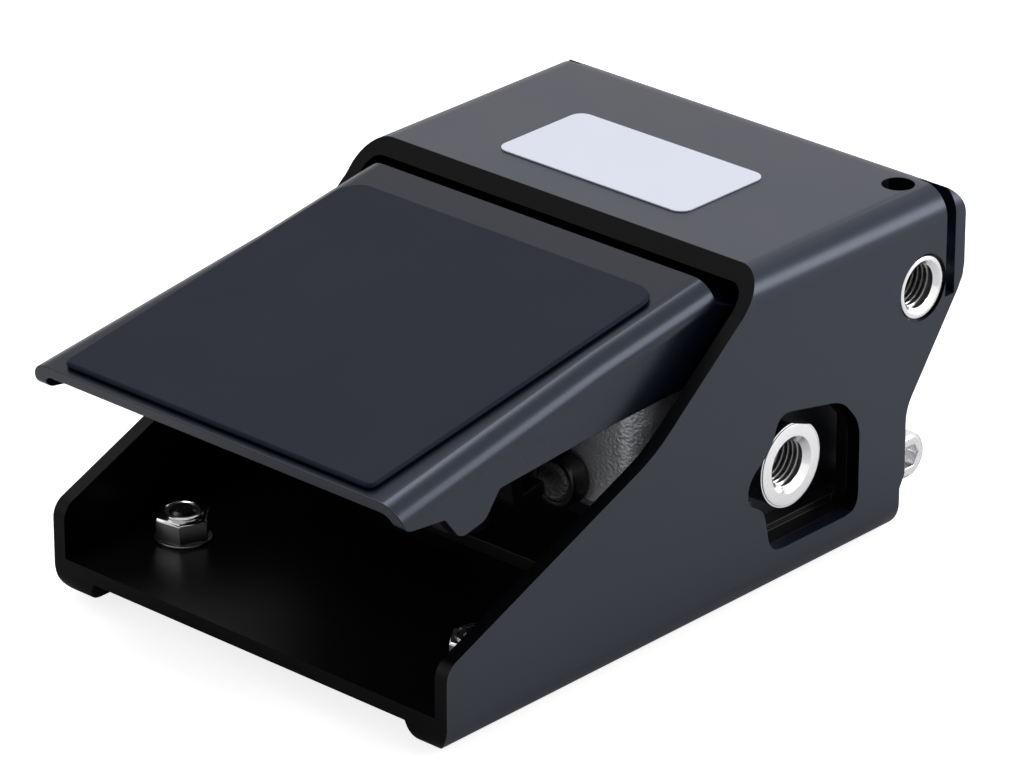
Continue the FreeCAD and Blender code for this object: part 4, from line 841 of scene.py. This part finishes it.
@dataclass
class Fastener:
    """Hexagon locknut with a nylon collar on a threaded stud.

    Heights count from the nut's seat. The collar's roll is a list of corners, each so far in
    and down from its outer top corner. The nylon ring grips the stud inside the bore.
    """

    flats_mm: float = 11.4
    height_mm: float = 5.2
    bore_mm: float = 3.05
    collar_mm: float = 4.7
    collar_rise_mm: float = 0.8
    collar_sink_mm: float = 0.5
    collar_inner_mm: tuple[float, float] = (0.75, 0.85)
    collar_inner_drop_mm: float = 0.15
    roll_mm: tuple[tuple[float, float], ...] = ((0.0, 0.35), (0.15, 0.08), (0.5, 0.0))
    ring_sink_mm: float = 0.4
    ring_drop_mm: float = 0.25
    ring_grip_mm: float = 0.1
    ring_width_mm: float = 0.9
    ring_edge_mm: float = 0.1
    ring_crown_mm: float = 0.2
    ring_slope_mm: float = 0.3
    round_steps: int = 48
    bevel_mm: float = 0.55
    bevel_drop_mm: float = 0.55
    corner_slack_mm: float = 0.05
    corner_round_mm: float = 0.25
    upright_mm: float = 1.5
    pitch_mm: float = 1.0
    stud_mm: float = 3.0
    thread_depth_mm: float = 0.5
    thread_rise_mm: float = 0.02
    thread_mm: tuple[float, ...] = (0.0, 0.45, 0.55, 1.0)
    thread_steps: int = 32
    turn_deg: float = -51.5

    def nut(self) -> bmesh.types.BMesh:
        """Hexagon with its upper and lower corners turned off.

        Returns:
            The nut's metal, about the Z axis with its seat at zero.
        """
        corner = self.flats_mm / 2 / math.cos(math.radians(30))
        shape = bmesh.new()
        bmesh.ops.create_cone(shape, cap_ends=True, segments=6, radius1=corner * MM,
                              radius2=corner * MM, depth=self.height_mm * MM,
                              matrix=Matrix.Translation((0, 0, self.height_mm / 2 * MM)))
        bmesh.ops.rotate(shape, verts=shape.verts, cent=(0, 0, 0),
                         matrix=Matrix.Rotation(math.radians(30), 3, "Z"))
        caps = [f for f in shape.faces if abs(f.normal.z) > 0.9]
        bmesh.ops.inset_region(shape, faces=caps, thickness=self.bevel_mm * MM, depth=0.0)
        for vert in shape.verts:
            flat = Vector((vert.co.x, vert.co.y))
            if flat.length > (corner - self.corner_slack_mm) * MM:
                drop = self.bevel_drop_mm * MM
                vert.co.z += drop if vert.co.z < self.height_mm / 2 * MM else -drop
        sharp = [e for e in shape.edges
                 if abs(e.verts[0].co.z - e.verts[1].co.z) > self.upright_mm * MM]
        bmesh.ops.bevel(shape, geom=sharp, offset=self.corner_round_mm * MM,
                        offset_type="OFFSET", segments=2, profile=0.5, affect="EDGES",
                        material=-1, clamp_overlap=True)
        return shape

    def collar(self) -> bmesh.types.BMesh:
        """Rolled rim that holds the nylon ring."""
        seat = self.height_mm - self.collar_sink_mm
        top = self.height_mm + self.collar_rise_mm
        low_wall, high_wall = (self.bore_mm + wall for wall in self.collar_inner_mm)
        roll = [(self.collar_mm - inset, top - drop) for inset, drop in self.roll_mm]
        return turned([(low_wall, seat), (self.collar_mm, seat), *roll,
                       (high_wall, top - self.collar_inner_drop_mm)], self.round_steps)

    def ring(self) -> bmesh.types.BMesh:
        """Nylon ring inside the collar."""
        low = self.height_mm - self.ring_sink_mm
        top = self.height_mm + self.collar_rise_mm - self.ring_drop_mm
        inner = self.bore_mm - self.ring_grip_mm
        outer = self.bore_mm + self.ring_width_mm
        return turned([(inner, low), (outer, low), (outer, top - self.ring_edge_mm),
                       (self.bore_mm + self.ring_crown_mm, top),
                       (inner, top - self.ring_slope_mm)], self.round_steps)

    def stud_thread(self, low_mm: float, top_mm: float) -> bmesh.types.BMesh:
        """Ridges of the stud's thread between two heights."""
        core = self.stud_mm - self.thread_depth_mm
        crest = self.stud_mm + self.thread_rise_mm
        section = list(zip((core, crest, crest, core), self.thread_mm))
        turns = (top_mm - low_mm - self.thread_mm[-1]) / self.pitch_mm
        return coil(section, self.pitch_mm, turns, low_mm, self.thread_steps)

    def set_of(self, make: Callable[[], bmesh.types.BMesh],
               seats: Sequence[Vector]) -> bmesh.types.BMesh:
        """Repeats a shape on several seats.

        Args:
            make: what builds one.
            seats: where each one's zero goes, in the row frame.

        Returns:
            All of them as one mesh.
        """
        copies = []
        for seat in seats:
            shape = make()
            turn = Matrix.Rotation(math.radians(self.turn_deg), 4, "Z")
            shape.transform(Matrix.Translation(seat) @ turn)
            copies.append(shape)
        return joined(*copies)


@dataclass
class Feet:
    """Rubber feet, their screws, washers and locknuts."""

    washer_mm: float = 0.6
    head_mm: float = 5.2
    stud_low_mm: float = 4.2
    stud_rise_mm: float = 0.35
    nut: Fastener = field(default_factory=Fastener)

    def seats(self) -> list[Vector]:
        """Seats of the three nuts, on top of their washers, from the frame's own boxes."""
        low, high = corners("foot_washers")
        front_low, front_high = corners("foot_screws")
        rear_low, rear_high = corners("rear_foot_screws")
        floor = low.z + self.washer_mm * MM
        front_y = (front_low.y + front_high.y) / 2
        rear_y = (rear_low.y + rear_high.y) / 2
        head = self.head_mm * MM
        return [Vector((front_high.x - head, front_y, floor)),
                Vector((front_low.x + head, front_y, floor)),
                Vector((rear_low.x + head, rear_y, high.z))]

    def build(self, shop: Workshop) -> None:
        """Makes the nuts with collars, nylon rings and the studs' threads."""
        seats = self.seats()
        metal = joined(self.nut.set_of(self.nut.nut, seats),
                       self.nut.set_of(self.nut.collar, seats))
        shop.add("locknuts", metal, "nut_zinc", "base", "nut_zinc", "foot_nuts", smooth_deg=30.0)
        rings = self.nut.set_of(self.nut.ring, seats)
        shop.add("nylon_rings", rings, "nylon_ring", "base", "nut_zinc")
        top = self.nut.height_mm + self.nut.collar_rise_mm + self.stud_rise_mm
        thread = self.nut.set_of(lambda: self.nut.stud_thread(self.stud_low_mm, top), seats)
        shop.add("stud_threads", thread, "screw_zinc", "base", "screw_zinc")

    def dress(self, shop: Workshop) -> None:
        """Finishes the rubber feet, screws and washers."""
        shop.soften(Softening("foot_pads", "foot_rubber", 0.4))
        for node in ("foot_screws", "rear_foot_screws"):
            shop.finish(shop.frame["nodes"][node], "screw_zinc")
        shop.soften(Softening("foot_washers", "washer_zinc", 0.15))


@dataclass
class ValveBlock:
    """Black block, its cast cover, ports, plug and silencer."""

    cover_edge_mm: float = 0.4
    cover_end_mm: float = 7.0
    cover_step_deg: int = 8
    cover_foot_mm: float = 2.6
    cover_foot_slope: float = 0.75
    low_shoulder_mm: float = 46.8
    low_groove_mm: float = 0.3
    high_shoulder_mm: float = 50.5
    boss_mm: float = 9.8

    def build(self, shop: Workshop) -> None:
        """Rounds the block and cover and cuts the ports."""
        shop.soften(Softening("valve_body", "block_black", 0.5))
        self.cover(shop)
        shop.soften(Softening("channel_plug", "plug_metal", 0.3),
                    Softening("silencer_holder", "holder_black", 0.25),
                    Softening("silencer_core", "sintered", 0.5),
                    Softening("vent_screw", "screw_black", 0.2),
                    Softening("tie_screws", "screw_black", 0.2))
        face = highest_x("port_insert_low")
        low_port = Port("port_insert_low", self.low_shoulder_mm, face, self.boss_mm,
                        neck_mm=face - self.low_shoulder_mm - self.low_groove_mm,
                        ring_mm=9.5, flat_mm=9.2)
        low_port.build(shop, "port_metal", self.axis(shop, "port_low"))
        high_port = Port("port_insert_high", self.high_shoulder_mm,
                         highest_x("port_insert_high"), self.boss_mm, neck_mm=0.6, ring_mm=7.2,
                         crest_mm=4.95, root_mm=5.8, mouth_mm=6.1)
        high_port.build(shop, "port_metal", self.axis(shop, "port_high"))

    def cover(self, shop: Workshop) -> None:
        """Casts the cover with a round right end and a sloping foot."""
        low, high = corners("front_cover")
        shape = shop.copy_of("front_cover")
        end = self.cover_end_mm * MM
        centre = Vector((high.x - end, low.y + end, 0.0))
        for turn in range(self.cover_step_deg, 90, self.cover_step_deg):
            angle = math.radians(turn)
            outward = Vector((math.sin(angle), -math.cos(angle), 0.0))
            sliced(shape, centre + outward * end, outward)
        foot = Vector((0.0, low.y, low.z + self.cover_foot_mm * MM))
        sliced(shape, foot, Vector((0.0, -1.0, -self.cover_foot_slope)).normalized())
        shop.rounded(shape, Softening("front_cover", "cast_grey", self.cover_edge_mm,
                                      segments=3))

    @staticmethod
    def axis(shop: Workshop, name: str) -> Vector:
        """A point on a port's axis, from the frame's mounts."""
        places = {mount["name"]: mount["pos_m"] for mount in shop.frame["record"]["mounts"]}
        return Vector(places[name])


@dataclass
class Mechanism:
    """Spool, plunger, gland and springs inside the valve."""

    travel_mm: float = 6.5

    def build(self, shop: Workshop) -> None:
        """Copies each spring as a wire piece with a mesh of its own."""
        for node, joint in (("return_spring", "plunger_slide"), ("spool_spring", "spool_slide")):
            piece = shop.add(node + "_wire", shop.copy_of(node), "spring_wire", "base",
                             "spring_wire", node)
            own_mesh(piece)

    def dress(self, shop: Workshop) -> None:
        """Finishes the spool and its seals as they are and rounds the turned pieces."""
        for node, finish in (("spool", "spool_metal"), ("spool_seals", "seal_rubber")):
            shop.finish(shop.frame["nodes"][node], finish)
            log.info("%s: CAD mesh with %s", node, finish)
        shop.soften(Softening("gland_cap", "cap_metal", 0.2),
                    Softening("plunger", "plunger_metal", 0.25, "plunger_body"))


@dataclass
class Treadle:
    """Pedal with its pad, brackets, adjusting screw and sleeve."""

    sheet_edge_mm: float = 0.55
    pad_edge_mm: float = 1.1
    flat_facing: float = 0.96

    def build(self, shop: Workshop) -> None:
        """Rounds the pedal's sheet, the pad's rim and the small parts."""
        pedal, = shop.soften(Softening("pedal", "pedal_black", self.sheet_edge_mm, "treadle"))
        # flat top faces take the darker copy of the pedal paint as painted shade
        shop.part_finish(pedal, "pedal_top", lambda middle, normal: normal.z > self.flat_facing)
        shop.soften(Softening("pedal_pad", "pad_rubber", self.pad_edge_mm, "treadle", 3),
                    Softening("lever_bracket", "pedal_black", 0.4, "treadle"),
                    Softening("stop_bracket", "bracket_black", 0.5, "treadle"),
                    Softening("adjust_nut", "screw_zinc", 0.3, "treadle"),
                    Softening("adjust_screw", "screw_zinc", 0.15, "treadle"),
                    Softening("pivot_pin", "pin_steel", 0.15),
                    Softening("pivot_sleeve", "sleeve_polymer", 0.15, "treadle"),
                    Softening("floor_bumper", "foot_rubber", 0.4))


# stage


@dataclass(frozen=True)
class Lamp:
    """Square soft lamp, with its place and side in metres and its power in watts."""

    name: str
    place: tuple[float, float, float]
    side: float
    power: float


@dataclass
class Studio:
    """White floor, white surround, soft lamps and the camera, in metres."""

    centre: tuple[float, float, float] = (0.0, 0.0204, 0.0470)
    azimuth_deg: float = 42.54
    elevation_deg: float = 24.82
    distance: float = 1.4019
    right_shift: float = -0.0106
    up_shift: float = -0.0126
    focal_px: float = 6426.0
    image_width_px: float = 1024.0
    sensor_mm: float = 36.0
    clip: tuple[float, float] = (0.05, 20.0)
    fill: float = 0.25
    floor_reach: float = 3.0
    floor_colour: tuple[float, float, float] = (0.66, 0.66, 0.67)
    floor_glow: float = 0.82
    lamps: tuple[Lamp, ...] = (
        Lamp("overhead", (-0.15, 0.15, 1.1), 0.7, 7.2),
        Lamp("edge", (0.87, 0.06, 0.95), 0.35, 1.8),
        Lamp("sheen", (0.87, 0.89, 0.46), 0.5, 5.0),
        Lamp("front", (-0.7, -1.1, 0.7), 0.7, 1.6),
    )

    def axes(self) -> tuple[Vector, Vector, Vector]:
        """Right, up and back of the camera."""
        azimuth = math.radians(self.azimuth_deg)
        elevation = math.radians(self.elevation_deg)
        back = Vector((math.sin(azimuth) * math.cos(elevation),
                       -math.cos(azimuth) * math.cos(elevation), math.sin(elevation)))
        right = Vector((math.cos(azimuth), math.sin(azimuth), 0.0))
        return right, back.cross(right), back

    def camera(self) -> None:
        """Stands the camera where the photograph was taken."""
        right, up, back = self.axes()
        data = bpy.data.cameras.new("camera")
        data.sensor_width = self.sensor_mm
        data.sensor_fit = "HORIZONTAL"
        data.lens = self.focal_px / self.image_width_px * self.sensor_mm
        data.clip_start, data.clip_end = self.clip
        eye = (Vector(self.centre) + back * self.distance + right * self.right_shift
               + up * self.up_shift)
        turn = Matrix((right, up, back)).transposed().to_4x4()
        camera = bpy.data.objects.new("camera", data)
        camera.matrix_world = Matrix.Translation(eye) @ turn
        bpy.context.scene.collection.objects.link(camera)
        bpy.context.scene.camera = camera

    def surround(self) -> None:
        """World that is white to the eye and to reflections, and plainer as light."""
        world = bpy.data.worlds.new("surround")
        bpy.context.scene.world = world
        world.use_nodes = True
        tree = world.node_tree
        path = tree.nodes.new("ShaderNodeLightPath")
        seen = Value(tree, path.outputs["Is Camera Ray"])
        glossy = Value(tree, path.outputs["Is Glossy Ray"])
        through = Value(tree, path.outputs["Is Transmission Ray"])
        white = 1.0 - (1.0 - seen) * (1.0 - glossy) * (1.0 - through)
        level = self.fill + white * (1.0 - self.fill)
        background = tree.nodes["Background"]
        background.inputs["Color"].default_value = (1.0, 1.0, 1.0, 1.0)
        tree.links.new(level.socket, background.inputs["Strength"])

    def hang(self, lamp: Lamp) -> None:
        """Hangs a lamp so that it looks at the object."""
        data = bpy.data.lights.new(lamp.name, "AREA")
        data.shape = "SQUARE"
        data.size = lamp.side
        data.energy = lamp.power
        light = bpy.data.objects.new(lamp.name, data)
        aim = Vector(self.centre) - Vector(lamp.place)
        light.matrix_world = (Matrix.Translation(lamp.place)
                              @ aim.to_track_quat("-Z", "Y").to_matrix().to_4x4())
        bpy.context.scene.collection.objects.link(light)

    def floor(self) -> None:
        """Pale floor that is near white to the eye and keeps the object's shadow."""
        shape = bmesh.new()
        bmesh.ops.create_grid(shape, x_segments=1, y_segments=1,
                              size=self.floor_reach)
        mesh = bpy.data.meshes.new("floor")
        shape.to_mesh(mesh)
        shape.free()
        piece = bpy.data.objects.new("floor", mesh)
        bpy.context.scene.collection.objects.link(piece)
        material = bpy.data.materials.new("floor_white")
        material.use_nodes = True
        tree = material.node_tree
        shader = tree.nodes["Principled BSDF"]
        shader.inputs["Base Color"].default_value = (*self.floor_colour, 1.0)
        shader.inputs["Roughness"].default_value = 0.5
        shader.inputs["Emission Color"].default_value = (1.0, 1.0, 1.0, 1.0)
        path = tree.nodes.new("ShaderNodeLightPath")
        seen = Value(tree, path.outputs["Is Camera Ray"])
        tree.links.new((seen * self.floor_glow).socket, shader.inputs["Emission Strength"])
        mesh.materials.append(material)

    def build(self) -> None:
        """Sets the whole stage."""
        self.camera()
        self.surround()
        self.floor()
        for lamp in self.lamps:
            self.hang(lamp)
        bpy.context.scene.view_settings.view_transform = "Standard"


def main() -> None:
    """Builds the stage and every sub-assembly in order."""
    logging.basicConfig(level=logging.INFO, format="%(message)s")
    shop = Workshop(FRAME)
    Studio().build()
    Shell().build(shop)
    ValveBlock().build(shop)
    feet = Feet()
    feet.build(shop)
    feet.dress(shop)
    Treadle().build(shop)
    mechanism = Mechanism()
    mechanism.build(shop)
    mechanism.dress(shop)


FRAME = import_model()

if __name__ == "__main__":
    main()
